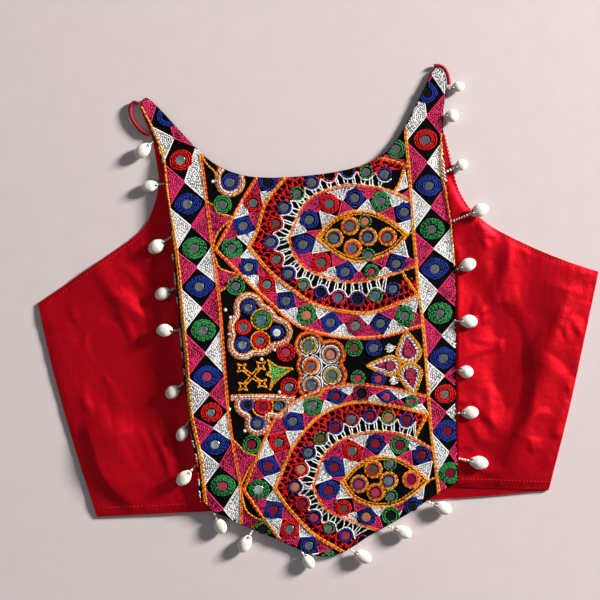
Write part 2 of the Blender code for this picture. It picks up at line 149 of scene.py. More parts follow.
def ramp(material, factor, stops):
    """A colour ramp from (place, hex colour) stops."""
    node = add_node(material, "ShaderNodeValToRGB", {"Fac": factor})
    elements = node.color_ramp.elements
    while len(elements) < len(stops):
        elements.new(0.5)
    for element, (place, colour) in zip(elements, stops):
        element.position = place
        element.color = (*linear(colour), 1)
    return node


print("a mid grey is", round(linear("#808080")[0], 3), "in linear light")

# %% Colour and relief
def own_place(material):
    """The place of each point on its piece, for a texture's Vector."""
    return add_node(material, "ShaderNodeTexCoord").outputs["Object"]


def colour_by(material, shader, factor, stops):
    """Colours a material by a factor, through a ramp."""
    link(material, ramp(material, factor, stops).outputs["Color"], shader.inputs["Base Color"])


def bump_by(material, shader, height, strength, distance):
    """Gives a material relief by a height, and returns the bump node."""
    bump = add_node(material, "ShaderNodeBump",
                    {"Strength": strength, "Distance": distance, "Height": height})
    link(material, bump.outputs["Normal"], shader.inputs["Normal"])
    return bump

# %% Objects
SCENE = bpy.context.scene.collection


def deselect():
    if bpy.context.object and bpy.context.object.mode != "OBJECT":
        bpy.ops.object.mode_set(mode="OBJECT")
    bpy.ops.object.select_all(action="DESELECT")


def pick(piece):
    deselect()
    piece.select_set(True)
    bpy.context.view_layer.objects.active = piece


def apply_modifiers(piece):
    pick(piece)
    for modifier in list(piece.modifiers):
        bpy.ops.object.modifier_apply(modifier=modifier.name)


def copy_of_node(node, name):
    """A copy of a CAD node's mesh, its loose triangles merged back into a quad cage."""
    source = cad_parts[node]
    piece = bpy.data.objects.new(name, source.data.copy())
    piece.data.name = name
    piece.data.materials.clear()
    SCENE.objects.link(piece)
    pick(piece)
    bpy.ops.object.mode_set(mode="EDIT")
    bpy.ops.mesh.select_all(action="SELECT")
    bpy.ops.mesh.remove_doubles(threshold=0.01 * MM)
    bpy.ops.mesh.tris_convert_to_quads(face_threshold=math.radians(30), shape_threshold=math.radians(80))
    bpy.ops.object.mode_set(mode="OBJECT")
    return piece


def finish_piece(piece, material, slot, *nodes):
    piece.data.materials.clear()
    piece.data.materials.append(material)
    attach(piece, "root")
    if nodes:
        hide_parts(*nodes)
    print(piece.name, len(piece.data.polygons), "faces")

# %% [markdown]
# ## The floor
# A sheet of pale rose-grey paper. It is stage and not part of the blouse. Paper has a faint mottle and no
# shine.

# %% The floor
FLOOR_SIZE = 4.0
FLOOR_LEVEL = -0.0004  # a hair under the lowest cloth
paper, shader = new_material("backdrop_paper", Roughness=0.9)
mottle = add_node(paper, "ShaderNodeTexNoise", {"Vector": own_place(paper), "Scale": 60.0, "Detail": 3.0})
colour_by(paper, shader, mottle.outputs["Fac"], [(0.3, "#CFC3C3"), (0.7, "#D2C6C6")])
deselect()
bpy.ops.mesh.primitive_plane_add(size=FLOOR_SIZE, location=(0, 0, FLOOR_LEVEL))
floor = bpy.context.object
floor.name = "paper_floor"
floor.data.materials.append(paper)
print("floor:", FLOOR_SIZE, "m square")

# %% [markdown]
# ## How high the cloth lies
# Everything sewn on the panel has to follow its crown. Rays cast down on the CAD panel give its height on a
# grid of points, which is then smoothed, so that the facets of the solid don't show in the needlework.

# %% Height of the panel
def solid_tree(node):
    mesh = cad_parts[node].data
    return BVHTree.FromPolygons([v.co[:] for v in mesh.vertices], [p.vertices[:] for p in mesh.polygons])


PANEL_TREE = solid_tree("embroidered_panel")
RAY_START = 0.1  # m over or under the floor
DOWN = Vector((0, 0, -1))


def hit_height(tree, x, y, below=False):
    """The height of a solid's upper surface, or of its lower one, over a place on the floor."""
    start = Vector((x * MM, y * MM, -RAY_START if below else RAY_START))
    place = tree.ray_cast(start, -DOWN if below else DOWN)[0]
    return None if place is None else place.z / MM


print("the panel's middle is", round(hit_height(PANEL_TREE, 0, 0), 1), "mm up")

# %% A smoothed map of heights
GRID_STEP = 2.5  # mm between the measured heights
MARGIN = 3  # steps of the grid round a node


class HeightMap:
    """Heights on a grid over a node, smoothed, and read between its points."""

    def __init__(self, node, tree, step, rounds=6, below=False):
        low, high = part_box(node)
        self.step = step
        self.x0, self.y0 = low[0] / MM - MARGIN * step, low[1] / MM - MARGIN * step
        columns = int((high[0] / MM - self.x0) / step) + MARGIN + 2
        rows = int((high[1] / MM - self.y0) / step) + MARGIN + 2
        found = np.full((rows, columns), np.nan)
        for r in range(rows):
            for c in range(columns):
                height = hit_height(tree, self.x0 + c * step, self.y0 + r * step, below)
                if height is not None:
                    found[r, c] = height
        self.solid = ~np.isnan(found)
        self.z = self.soften(self.spread(found), rounds)

    @staticmethod
    def soften(heights, rounds):
        for _ in range(rounds):
            padded = np.pad(heights, 1, mode="edge")
            mean = (padded[:-2, 1:-1] + padded[2:, 1:-1] + padded[1:-1, :-2] + padded[1:-1, 2:]) / 4
            heights = (heights + mean) / 2
        return heights

    def cover(self, rounds):
        """A map of 1 over the node and 0 beside it, with a soft edge."""
        result = copy.copy(self)
        result.z = self.soften(self.solid.astype(float), rounds)
        return result

    @staticmethod
    def spread(found):
        """Carries the edge heights outwards, until no point is empty."""
        while np.isnan(found).any():
            padded = np.pad(found, 1, mode="constant", constant_values=np.nan)
            around = np.stack([padded[:-2, 1:-1], padded[2:, 1:-1], padded[1:-1, :-2], padded[1:-1, 2:]])
            count = (~np.isnan(around)).sum(axis=0)
            total = np.nansum(around, axis=0)
            grow = np.isnan(found) & (count > 0)
            found = np.where(grow, total / np.maximum(count, 1), found)
        return found

    def __call__(self, x, y):
        """The height at a place, by a smooth curve through the measured heights (cubic B-spline)."""
        u = np.clip((np.asarray(x, float) - self.x0) / self.step, 1, self.z.shape[1] - 2.001)
        v = np.clip((np.asarray(y, float) - self.y0) / self.step, 1, self.z.shape[0] - 2.001)
        c, r = u.astype(int), v.astype(int)
        u, v = u - c, v - r
        total = 0.0
        for j, weight_v in enumerate(self.weights(v)):
            for i, weight_u in enumerate(self.weights(u)):
                total = total + weight_u * weight_v * self.z[r + j - 1, c + i - 1]
        return total

    @staticmethod
    def weights(t):
        """The share of each of the four points round a place, t of the way from the second to the third."""
        return ((1 - t) ** 3 / 6, (3 * t ** 3 - 6 * t ** 2 + 4) / 6, (3 * (t + t * t - t ** 3) + 1) / 6,
                t ** 3 / 6)

# %% The panel's heights
panel_solid_top = HeightMap("embroidered_panel", PANEL_TREE, GRID_STEP)
print("panel heights:", panel_solid_top.z.shape, "from", round(panel_solid_top.z.min(), 2),
      "to", round(panel_solid_top.z.max(), 2), "mm")

# %% [markdown]
# ## How the work is set out
# A Kutch embroiderer rules two lines for a border, marks the mirrors along the middle, and joins the marks to
# the lines, so each pair of mirrors has a triangle on either side. The same rule fills a straight border and
# a curved one, so here it is a rule too: a border is two lines and a run of mirrors, and its triangles
# follow.

# %% Lines
def curve(*points, step=0.8):
    """A smooth line through a few points in mm, as evenly spaced points (Catmull-Rom)."""
    points = [np.asarray(p, float) for p in points]
    control = [2 * points[0] - points[1], *points, 2 * points[-1] - points[-2]]
    dense = []
    for a, b, c, d in zip(control, control[1:], control[2:], control[3:]):
        for t in np.arange(0, 1, 0.05):
            dense.append(0.5 * (2 * b + (c - a) * t + (2 * a - 5 * b + 4 * c - d) * t * t
                                + (3 * (b - c) + d - a) * t ** 3))
    return even(np.array(dense + [points[-1]]), step)


def run_of(line):
    return np.concatenate([[0], np.cumsum(np.linalg.norm(np.diff(line, axis=0), axis=1))])


def even(line, step):
    """The same line with its points step mm apart."""
    run = run_of(line)
    return at(line, np.linspace(0, run[-1], max(2, int(round(run[-1] / step)) + 1)))


def at(line, places):
    """Points at places in mm along a line."""
    run = run_of(line)
    return np.stack([np.interp(places, run, line[:, 0]), np.interp(places, run, line[:, 1])], axis=-1)


def chain(*lines):
    """One line from several that meet end to end."""
    return np.concatenate([lines[0]] + [line[1:] for line in lines[1:]])


print("a curve through 3 points has", len(curve((0, 0), (10, 5), (20, 0))), "points")

# %% Steps and turns
def direction(turn):
    """The unit step, or steps, at a turn in radians."""
    return np.stack([np.cos(turn), np.sin(turn)], axis=-1)


def left_of(way):
    """The same step turned a quarter to its left."""
    return np.array([-way[1], way[0]])


def turn_of(way):
    return np.arctan2(way[1], way[0])


def circle(place, radius):
    return curve(*[np.array(place) + radius * direction(t) for t in np.linspace(0, 2 * np.pi, 17)])


def middle(a, b):
    """The line half way between two lines."""
    count = max(len(a), len(b))
    return (at(a, np.linspace(0, run_of(a)[-1], count)) + at(b, np.linspace(0, run_of(b)[-1], count))) / 2


def heading(line):
    """The direction of a line at each of its points, in radians."""
    along = np.gradient(line, axis=0)
    return np.arctan2(along[:, 1], along[:, 0])


def offset(line, distance):
    """The line moved sideways to its left."""
    turn = heading(line)
    return line + distance * np.stack([-np.sin(turn), np.cos(turn)], axis=-1)


print("a circle of 10 mm is a line of", len(circle((0, 0), 10)), "points")

# %% Places beside a line or in a shape
def nearest(line, point):
    return int(np.argmin(np.linalg.norm(line - point, axis=1)))


def inside(polygon, points):
    """Which of the points lie inside a polygon."""
    x, y = points[:, 0], points[:, 1]
    result = np.zeros(len(points), bool)
    for (x1, y1), (x2, y2) in zip(polygon, np.roll(polygon, -1, axis=0)):
        if y1 != y2:
            result ^= ((y1 > y) != (y2 > y)) & (x < x1 + (y - y1) / (y2 - y1) * (x2 - x1))
    return result


print("the middle of a circle lies inside it:", inside(circle((0, 0), 10), np.array([[0.0, 0.0]]))[0])

# %% [markdown]
# ## Mirrors in a row
# Each mirror is named by the thread of its ring, and by what its glass shows if that isn't plain grey. A row
# is written as a row of names, from one end of its line to the other, and the pitch between them is even.

# %% Mirrors
Mirror = namedtuple("Mirror", "place turn ring glass size")


def mirror_at(place, name, turn=0.0):
    """name is ring, ring:glass or ring:glass:size; the glass is grey and the size 1 when left out."""
    parts = name.split(":") + ["", ""]
    return Mirror(np.asarray(place, float), turn, parts[0], parts[1] or "grey", float(parts[2] or 1))


def row_of_mirrors(line, first, pitch, names):
    """Mirrors along a line. pitch is one distance, or a list of the distances between neighbours."""
    names = names.split()
    gaps = [pitch] * (len(names) - 1) if np.isscalar(pitch) else list(pitch)
    places = first + np.concatenate([[0], np.cumsum(gaps)])
    turns = np.interp(places, run_of(line), np.unwrap(heading(line)))
    return [mirror_at(p, n, t) for p, n, t in zip(at(line, places), names, turns)]


Band = namedtuple("Band", "outer inner mirrors first")
print(mirror_at((0, 0), "blue:dark:0.9"))

# %% The two borders of the panel
LEFT_OUTER = curve((-140, 165), (-123, 129), (-117, 89), (-110, 49), (-106, 8), (-102, -33), (-99, -73),
                   (-91, -113), (-87, -156))
LEFT_INNER = chain(curve((-133, 171), (-121, 159), (-108, 144), (-92, 127)),
                   curve((-92, 127), (-87, 90), (-82, 51), (-77, 12), (-72, -50), (-69, -82), (-64, -113),
                         (-60, -137), (-60, -168)))
LEFT_MIDDLE = curve((-132, 184), (-118, 155), (-107, 121), (-99, 70), (-92, 22), (-86, -46), (-80, -98),
                    (-74, -132), (-73, -172))
LEFT_BAND = Band(LEFT_OUTER, LEFT_INNER, row_of_mirrors(
    LEFT_MIDDLE, 0, [32, 36, 35, 35, 30, 34, 36, 28, 25, 33, 38],
    "gap blue:dark red blue green blue:pale green blue:rose red:grey:0.9 blue green:rose gap"), "magenta")

RIGHT_INNER = chain(curve((96, 200), (85, 180), (77, 165), (68, 147)),
                    curve((68, 147), (72, 98), (75, 58), (78, 23), (82, -12), (85, -51), (88, -90),
                          (92, -121), (95, -148)))
RIGHT_OUTER = curve((100, 200), (98, 151), (100, 109), (105, 67), (110, 25), (113, -17), (114, -60),
                    (114, -102), (112, -148))
RIGHT_MIDDLE = curve((92, 203), (85, 173), (84, 136), (87, 98), (91, 40), (97, -20), (99, -62), (101, -91),
                     (103, -124), (104, -154))
RIGHT_BAND = Band(RIGHT_INNER, RIGHT_OUTER, row_of_mirrors(
    RIGHT_MIDDLE, 0, [30, 37, 36, 34, 31, 35, 35, 28, 29, 33, 30],
    "gap blue:dark red blue green blue:pale green blue red:pale:0.9 blue:wine green:wine gap"), "magenta")
for band in (LEFT_BAND, RIGHT_BAND):
    print("a border of", round(run_of(band.outer)[-1]), "mm with", len(band.mirrors) - 2, "mirrors")

# %% [markdown]
# ## The two nested almonds
# The field holds two large almonds that point to the left and run off under the right border. Each is a set
# of lines one inside the other: a band of triangles, a red net, a white one, a second band, and a black eye
# in the middle. The two are cousins and not copies, so each has its own few points.

# %% The upper almond, each line as an upper and a lower half that meet at the point on the left
UPPER = {
    "outer": (curve((-42, 118), (-50, 104), (-60, 88), (-70, 69), (-80, 51)),
              curve((-80, 51), (-61, 32), (-37, 9), (-14, -9), (17, -17), (48, -17), (86, -7))),
    "second": (curve((-14, 115), (-27, 105), (-41, 87), (-48, 65), (-54, 53)),
               curve((-54, 53), (-39, 35), (-22, 21), (-2, 8), (25, 2), (42, 2), (60, 8), (82, 17))),
    "above": curve((68, 116), (48, 122), (38, 124), (20, 121), (0, 118), (-14, 115)),
    "net": (curve((52, 110), (21, 112), (-7, 102), (-29, 80), (-37, 56)),
            curve((-37, 56), (-34, 46), (-18, 28), (10, 15), (40, 14), (74, 27))),
    "inner": (curve((75, 87), (60, 95), (40, 100), (16, 100), (-9, 88), (-23, 60)),
              curve((-23, 60), (-18, 46), (-7, 35), (21, 26), (51, 30), (80, 40))),
}
UPPER_ROWS = {
    "band": (19.6, "gap blue:dark red blue", "green",
             "blue red:pale blue green:tan blue wine:pale blue green gap"),
    "net": (14.6, "blue green blue:dark magenta:dark blue green blue red:brown blue red blue green:pale:0.8 "
                  "blue:dark:0.9 magenta:sky blue:dark green:sky blue:sky"),
    "inner": (20.4, "gap blue green blue red blue blue red blue green:rose:0.8 blue gap"),
}
UPPER_INNER_ROW = curve((85, 70), (54, 87), (22, 91), (-3, 79), (-12, 58), (-1, 43), (27, 33), (56, 38),
                        (88, 55))
UPPER_EYE = (curve((-1, 60), (10, 73), (25, 80), (41, 80), (57, 73), (70, 63)),
             curve((70, 63), (59, 51), (44, 44), (27, 42), (12, 49), (-1, 60)))
UPPER_EYES = [((12.5, 60), "blue"), ((25, 69.5), "wine"), ((27, 52), "magenta"), ((39, 61), "blue"),
              ((54, 61), "wine")]
UPPER_LEAFLETS = [((36.5, 73), "green:tan:0.9"), ((39, 47), "green:grey:0.9")]
print("upper almond:", len(UPPER), "lines and", len(UPPER_EYES), "mirrors in its eye")

# %% The lower almond
LOWER = {
    "outer": (curve((87, -64), (56, -57), (25, -54), (-6, -61), (-32, -79), (-46, -107), (-58, -136)),
              curve((-58, -136), (-46, -154), (-31, -174), (-18, -192))),
    "second": (curve((89, -78), (59, -71), (29, -68), (2, -78), (-18, -100), (-29, -124), (-34, -135)),
               curve((-34, -135), (-22, -152), (-5, -170), (14, -182), (36, -194))),
    "net": (curve((83, -85), (58, -80), (33, -79), (11, -89), (-7, -106), (-18, -134)),
            curve((-18, -134), (-10, -150), (8, -166), (38, -178))),
    "inner": (curve((92, -107), (71, -95), (48, -91), (24, -95), (5, -109), (-4, -134)),
              curve((-4, -134), (5, -150), (24, -160), (55, -171))),
}
LOWER_ROWS = {
    "band": (19.8, "gap green:rose:0.7 blue:rose:0.8 wine:dark blue:wine:0.9 green blue red blue:wine",
             "green", "blue:wine red blue green:pale gap"),
    "net": (14.4, "gap blue:wine green:tan blue:wine wine blue:wine green:brown blue red:tan blue:tan "
                  "red:wine blue:rose green:pale:0.8 blue:rose wine:dark"),
    "inner": (19.0, "gap blue:wine green:wine blue:wine red blue:wine blue:wine red:brown:0.85 blue:tan "
                    "green:dark blue:dark gap"),
}
LOWER_INNER_ROW = curve((97, -119), (79, -108), (51, -99), (20, -110), (8, -132), (18, -149), (46, -158),
                        (76, -148), (98, -128))
LOWER_EYE = (curve((18, -130), (29, -118), (43, -111), (59, -111), (73, -118), (86, -129)),
             curve((86, -129), (74, -140), (60, -148), (43, -149), (28, -143), (18, -130)))
LOWER_EYES = [((32, -131.5), "blue:rose"), ((43, -120), "wine:brown"), ((45, -138), "wine:rose"),
              ((55, -129), "blue:pale"), ((72.5, -128), "magenta:wine")]
LOWER_LEAFLETS = [((56, -116), "green:grey:0.9"), ((57, -141), "green:grey:0.9")]
print("lower almond:", len(LOWER), "lines and", len(LOWER_EYES), "mirrors in its eye")

# %% The almonds' bands
def two_way_band(lines, rows):
    """The outer band of an almond as two bands that both start at its point."""
    pitch, above, corner, below = rows["band"]
    bands = []
    for outer, inner, names in zip(lines["outer"], lines["second"], (above, below)):
        if names is above:
            outer, inner, names = outer[::-1], inner[::-1], " ".join(above.split()[::-1])
        row = row_of_mirrors(middle(outer, inner), 0, pitch, corner + " " + names)
        bands.append(Band(outer, inner, row, "magenta"))
    bands[1].mirrors[0] = bands[0].mirrors[0]._replace(ring="gap")
    return bands


def inner_band(lines, eye, line, rows):
    """The band round the eye. It also changes colour at its left end, so it is made as two bands."""
    pitch, names = rows["inner"]
    row = row_of_mirrors(line, 0, pitch, names)
    left = min(range(len(row)), key=lambda i: row[i].place[0])
    above = Band(lines["inner"][0][::-1], eye[0], row[left::-1], "white")
    # The lower one's outer line starts a little before the point, to reach the mirror there.
    below = Band(chain(lines["inner"][0][-12:], lines["inner"][1]), eye[1][::-1], row[left:], "magenta")
    below.mirrors[0] = below.mirrors[0]._replace(ring="gap")
    return [above, below]


ALMONDS = []
for lines, rows, row_line, eye, eyes, leaflets in (
        (UPPER, UPPER_ROWS, UPPER_INNER_ROW, UPPER_EYE, UPPER_EYES, UPPER_LEAFLETS),
        (LOWER, LOWER_ROWS, LOWER_INNER_ROW, LOWER_EYE, LOWER_EYES, LOWER_LEAFLETS)):
    bands = two_way_band(lines, rows) + inner_band(lines, eye, row_line, rows)
    net_mirrors = row_of_mirrors(chain(*lines["net"]), 0, *rows["net"])
    ALMONDS.append((lines, bands, net_mirrors, eye, eyes, leaflets))
BANDS = [LEFT_BAND, RIGHT_BAND] + [band for almond in ALMONDS for band in almond[1]]
print(len(BANDS), "bands with", sum(m.ring != "gap" for b in BANDS for m in b.mirrors), "mirrors")

# %% [markdown]
# ## The stitch
# Every thread on the panel is one small shape: a sliver with pointed ends and a rounded back. It is modelled
# once from a three-sided cylinder. Its copies are laid by arrays of places, turns and sizes, and each corner
# of a copy follows the cloth under it. A real stitch is finer than these; at about 2.4 mm they are as coarse
# as they need to be to show, and each has a dozen triangles.

# %% One stitch, lying along X
deselect()
bpy.ops.mesh.primitive_cylinder_add(vertices=3, radius=0.5, depth=0.56, rotation=(0, math.pi / 2, 0))
model_stitch = bpy.context.object
bpy.ops.object.transform_apply(location=True, rotation=True, scale=True)
bpy.ops.object.mode_set(mode="EDIT")
shape = bmesh.from_edit_mesh(model_stitch.data)
for face in shape.faces:
    face.select = abs(face.normal.x) > 0.9
bmesh.update_edit_mesh(model_stitch.data)
bpy.ops.mesh.poke(offset=0.22)
bpy.ops.object.mode_set(mode="OBJECT")
STITCH_POINTS = np.array([v.co[:] for v in model_stitch.data.vertices])
STITCH_FACES = [tuple(p.vertices) for p in model_stitch.data.polygons]
bpy.data.objects.remove(model_stitch)
STITCH_POINTS = STITCH_POINTS[:, [0, 2, 1]] * (1, -1, 1)  # one ridge up, and a flat side down
print("stitch:", len(STITCH_POINTS), "points,", len(STITCH_FACES), "faces")

# %% [markdown]
# ## How the cloth ripples
# Sewing draws cloth together, so the panel isn't smooth: it puckers between the mirrors, hangs a little
# hollow in the middle, stands up along its left edge, and has one soft crease down its right border. These
# are added to the CAD panel's own crown, in mm, by soft ridges given one by one and a slow ripple.

# %% Ridges and ripples
CREST = 0.9  # mm of rounded crest on a ridge
POINTS_AT_ONCE = 4000
Crease = namedtuple("Crease", "line height width right", defaults=[None])


def ridge(x, y, crease):
    """A ridge with a narrow crest, or a trough if its height is negative, that fades out at both ends.

    It runs out at width on the left of its line, and at right on the other side if that is given.
    """
    points = np.stack([np.asarray(x, float).ravel(), np.asarray(y, float).ravel()], axis=1)
    line = even(crease.line, 0.6)
    total = np.zeros(len(points))
    run = run_of(line)
    fade = np.sin(np.pi * np.clip(run / run[-1], 0, 1)) ** 0.6
    turn = heading(line)
    for start in range(0, len(points), POINTS_AT_ONCE):
        part = points[start:start + POINTS_AT_ONCE]
        away = np.linalg.norm(part[:, None, :] - line[None, :, :], axis=2)
        near = away.argmin(axis=1)
        step = part - line[near]
        on_left = np.cos(turn[near]) * step[:, 1] - np.sin(turn[near]) * step[:, 0] > 0
        width = np.where(on_left, crease.width, crease.right or crease.width)
        beside = np.hypot(away[np.arange(len(part)), near], CREST) - CREST
        total[start:start + POINTS_AT_ONCE] = fade[near] * np.clip(1 - beside / width, 0, 1) ** 1.2
    return crease.height * total.reshape(np.shape(x))


def ripple(x, y, wavelength, seed):
    """A slow, seeded, even ripple between -1 and 1, from a few crossed waves."""
    waves = np.random.default_rng(seed)
    total = np.zeros(np.shape(x))
    for _ in range(9):
        turn, phase = waves.uniform(0, 2 * np.pi, 2)
        length = wavelength * waves.uniform(0.7, 1.5)
        total += np.sin((np.cos(turn) * x + np.sin(turn) * y) * 2 * np.pi / length + phase)
    return total / 4.5


trial = Crease(curve((0, 0), (10, 0)), 2, 4)
print("a ridge 2 mm high is", round(float(ridge(5, 1, trial)), 2), "mm high 1 mm beside its line")

# %% Creases of the panel
PANEL_CREASES = [
    # The hollow, and the left edge that stands up.
    Crease(curve((8, 88), (10, 20), (12, -60), (10, -150), step=3), -3.5, 85),
    Crease(curve((-121, 125), (-113, 68), (-106, 10), (-101, -40), (-96, -93), (-89, -150), step=3),
           7.5, 62, 12),
    # The trough and ridge down the right border.
    Crease(curve((91, 134), (93.5, 118), (95.2, 99), (98.5, 78), (101.4, 43), step=2), -1.3, 4.0),
    Crease(curve((86, 134), (88.5, 112), (92, 78), (95, 43), step=3), 0.7, 8),
    # Puckers.
    Crease(curve((-92, -150), (-84, -168), (-76, -185), step=3), 0.8, 7),
    Crease(curve((-40, 96), (-20, 60), (-25, 20), step=4), 0.5, 15),
    Crease(curve((-60, -60), (-40, -95), (-44, -130), step=4), 0.5, 14),
    Crease(curve((20, -35), (45, -60), (85, -70), step=4), 0.6, 14),
]
print(len(PANEL_CREASES), "creases on the panel")

# %% Height of the ground cloth
GROUND_DROP = 0.75  # mm that the ground cloth lies below the solid, to leave room for the stitches
PANEL_RIPPLE = 0.35


class GroundMap(HeightMap):
    """The panel's own height with its ripples and creases added."""

    def __init__(self, source):
        self.step, self.x0, self.y0 = source.step, source.x0, source.y0
        rows, columns = source.z.shape
        x, y = np.meshgrid(self.x0 + self.step * np.arange(columns), self.y0 + self.step * np.arange(rows))
        self.z = source.z - GROUND_DROP + PANEL_RIPPLE * ripple(x, y, 34, 5)
        for crease in PANEL_CREASES:
            self.z = self.z + ridge(x, y, crease)


ground = GroundMap(panel_solid_top)
print("ground cloth: middle at", round(float(ground(0, 0)), 1),
      "mm, left edge at", round(float(ground(-100, -40)), 1), "mm")


def on_panel(points, inset=0.7):
    """Which points lie on the panel, at least inset mm from its edge."""
    result = np.ones(len(points), bool)
    for dx, dy in ((inset, 0), (-inset, 0), (0, inset), (0, -inset)):
        for i in np.flatnonzero(result):
            result[i] = hit_height(PANEL_TREE, points[i, 0] + dx, points[i, 1] + dy) is not None
    return result

# %% [markdown]
# ## Sewing
# A thread box holds the stitches sewn so far with each thread. Each stitch is a place, a turn, a length, a
# width, a lift above the cloth and a tone with painted shade. At the end each thread's stitches become one
# piece of the panel, in one material. The tone makes each stitch a little lighter or darker: partly at
# random, and partly as painted light and shade, where loops and rows of stitches are lighter and darker by
# turns.

# %% The thread boxes
THREAD_BOX = {}
FIELD = np.concatenate([LEFT_INNER, [(-60, -230), (97, -230)], RIGHT_INNER[::-1]])
hoop = {"shape": None}  # where sewing is kept inside, as by an embroidery hoop


def sew(thread, points, turn, length, width, lift=0.0, tone_and_shade=0.0):
    """Adds stitches. points is an array of places in mm; the rest are numbers or arrays as long."""
    points = np.asarray(points, float)
    count = len(points)
    if not count:
        return
    row = np.empty((count, 7))
    row[:, :2] = points
    for column, value in zip(range(2, 7), (turn, length, width, lift, tone_and_shade)):
        row[:, column] = value
    if hoop["shape"] is not None:
        row = row[inside(hoop["shape"], points)]
    THREAD_BOX.setdefault(thread, []).append(row)


def stitch_count():
    return sum(len(rows) for parts in THREAD_BOX.values() for rows in parts)


print("the field has", len(FIELD), "points;", stitch_count(), "stitches so far")

# %% Filled shapes
STITCH_STEP = 0.86  # of its length, from one stitch of a row to the next
RING_ROOM = 8.2  # mm kept clear round a mirror's middle


def blocked_by(mirrors, points, room):
    """Which points lie under a mirror's ring."""
    result = np.zeros(len(points), bool)
    for mirror in mirrors:
        if mirror.ring != "gap":
            result |= np.linalg.norm(points - mirror.place, axis=1) < room * mirror.size
    return result


def fill(thread, polygon, turn, mirrors=(), room=RING_ROOM, pitch=1.05, length=2.3, lift=0.0):
    """Fills a shape with rows of short stitches, each row shifted by half a stitch."""
    centre = polygon.mean(axis=0)
    along = direction(turn)
    across = left_of(along)
    reach = np.linalg.norm(polygon - centre, axis=1).max() + length
    u = np.arange(-reach, reach, length * STITCH_STEP)
    v = np.arange(-reach, reach, pitch)
    grid_u, grid_v = np.meshgrid(u, v)
    grid_u = grid_u + (np.arange(len(v)) % 2)[:, None] * length * STITCH_STEP / 2
    points = centre + grid_u.ravel()[:, None] * along + grid_v.ravel()[:, None] * across
    points = points + scatter.normal(0, 0.12, points.shape)
    points = points[inside(polygon, points)]
    points = points[~blocked_by(mirrors, points, room)]
    count = len(points)
    sew(thread, points, turn + scatter.normal(0, 0.2, count), length * scatter.uniform(0.8, 1.15, count),
        pitch * scatter.uniform(0.85, 1.15, count), lift + scatter.normal(0, 0.08, count),
        scatter.normal(0, 0.16, count))

# %% Lines of stitches
def rope(thread, line, pitch=1.7, width=1.35, lift=0.25, slant=0.6, side=0.0, tone_and_shade=0.0, painted_light_beat=0.28):
    """A line of chain stitch: slanted stitches, each over the end of the last, with painted highlight and
    shade by turns.
    """
    line = even(offset(line, side) if side else line, pitch)
    count = len(line)
    sew(thread, line + scatter.normal(0, 0.08, line.shape),
        heading(line) + slant + scatter.normal(0, 0.1, count), pitch * 1.5, width,
        lift + scatter.normal(0, 0.05, count), tone_and_shade + np.resize([painted_light_beat, -painted_light_beat], count))


def plait(line, threads=("orange", "orange"), width=2.8):
    """Two rows of chain stitch that lean towards each other, as one cord."""
    rope(threads[0], line, 1.9, width * 0.53, slant=0.55, side=width * 0.23)
    rope(threads[1], line, 1.9, width * 0.53, slant=-0.55, side=-width * 0.23)

# %% Triangles as fans
FAN_SPREAD = 1.35  # radians to each side of a fan's middle
FAN_SLANT = 0.5  # radians, to one side and the other by turns


def fan(thread, polygon, apex, mirrors=(), room=RING_ROOM, pitch=1.15, length=1.9):
    """Fills a triangle with arcs of stitches that point to its apex, and edges it with a line of its own."""
    apex = np.asarray(apex, float)
    away = polygon - apex
    middle_turn = turn_of(away.mean(axis=0))
    reach = np.linalg.norm(away, axis=1).max() + length
    places, turns, tones = [], [], []
    for number, radius in enumerate(np.arange(0.8, reach, length * 0.84)):
        turn = middle_turn + np.arange(-FAN_SPREAD, FAN_SPREAD, pitch / max(radius, pitch))
        places.append(apex + radius * direction(turn))
        turns.append(turn + (FAN_SLANT if number % 2 else -FAN_SLANT))
        # Rows are painted lighter and darker by turns: painted highlight and shade, as on stitches slanted
        # one way and the other.
        tones.append(np.resize([0.28, -0.1] if number % 2 else [-0.25, 0.05], len(turn)))
    places, turns, tones = np.concatenate(places), np.concatenate(turns), np.concatenate(tones)
    keep = inside(polygon, places)
    keep[keep] = ~blocked_by(mirrors, places[keep], room)
    count = keep.sum()
    sew(thread, places[keep] + scatter.normal(0, 0.1, (count, 2)),
        turns[keep] + scatter.normal(0, 0.12, count), length * scatter.uniform(0.95, 1.3, count),
        pitch * 1.08, scatter.normal(0, 0.08, count), tones[keep] + scatter.normal(0, 0.06, count))
    edge = even(np.concatenate([polygon, polygon[:1]]), 1.6)
    edge = edge[~blocked_by(mirrors, edge, room - 0.6)]
    if len(edge) > 3:
        sew(thread, edge, heading(edge) + 0.15, 2.4, 0.95, 0.12, 0.15)

# %% [markdown]
# ## A mirror and its ring
# A shisha mirror is a disc of thin silvered glass. It has no holes, so a ring of stitches is worked over its
# rim to hold it. On this panel the rings stand out wide of the glass: blue ones are squared off towards the
# borders' lines, green and red ones are round. Each ring is a few rounds of chain stitch, one outside the
# other. The glass is set a little down and to the left in it, so that a thin crescent of black cloth at its
# upper right stands in as a painted shadow of the ring.

# %% Rings and mirrors
GLASS_RADIUS = 3.6
RING_START = 4.0
RING_LIFT = 0.5  # of the inmost round; the next ones lie lower
GLASS = []
# Half sizes across and along the row, and a power that is 2 for an oval and less for a diamond
RING_SHAPES = {
    "blue": (10.0, 8.6, 1.5),
    "green": (8.7, 8.4, 2.0),
    "red": (8.5, 8.3, 2.0),
    "wine": (8.2, 8.0, 2.0),
    "magenta": (8.2, 8.0, 2.0),
}


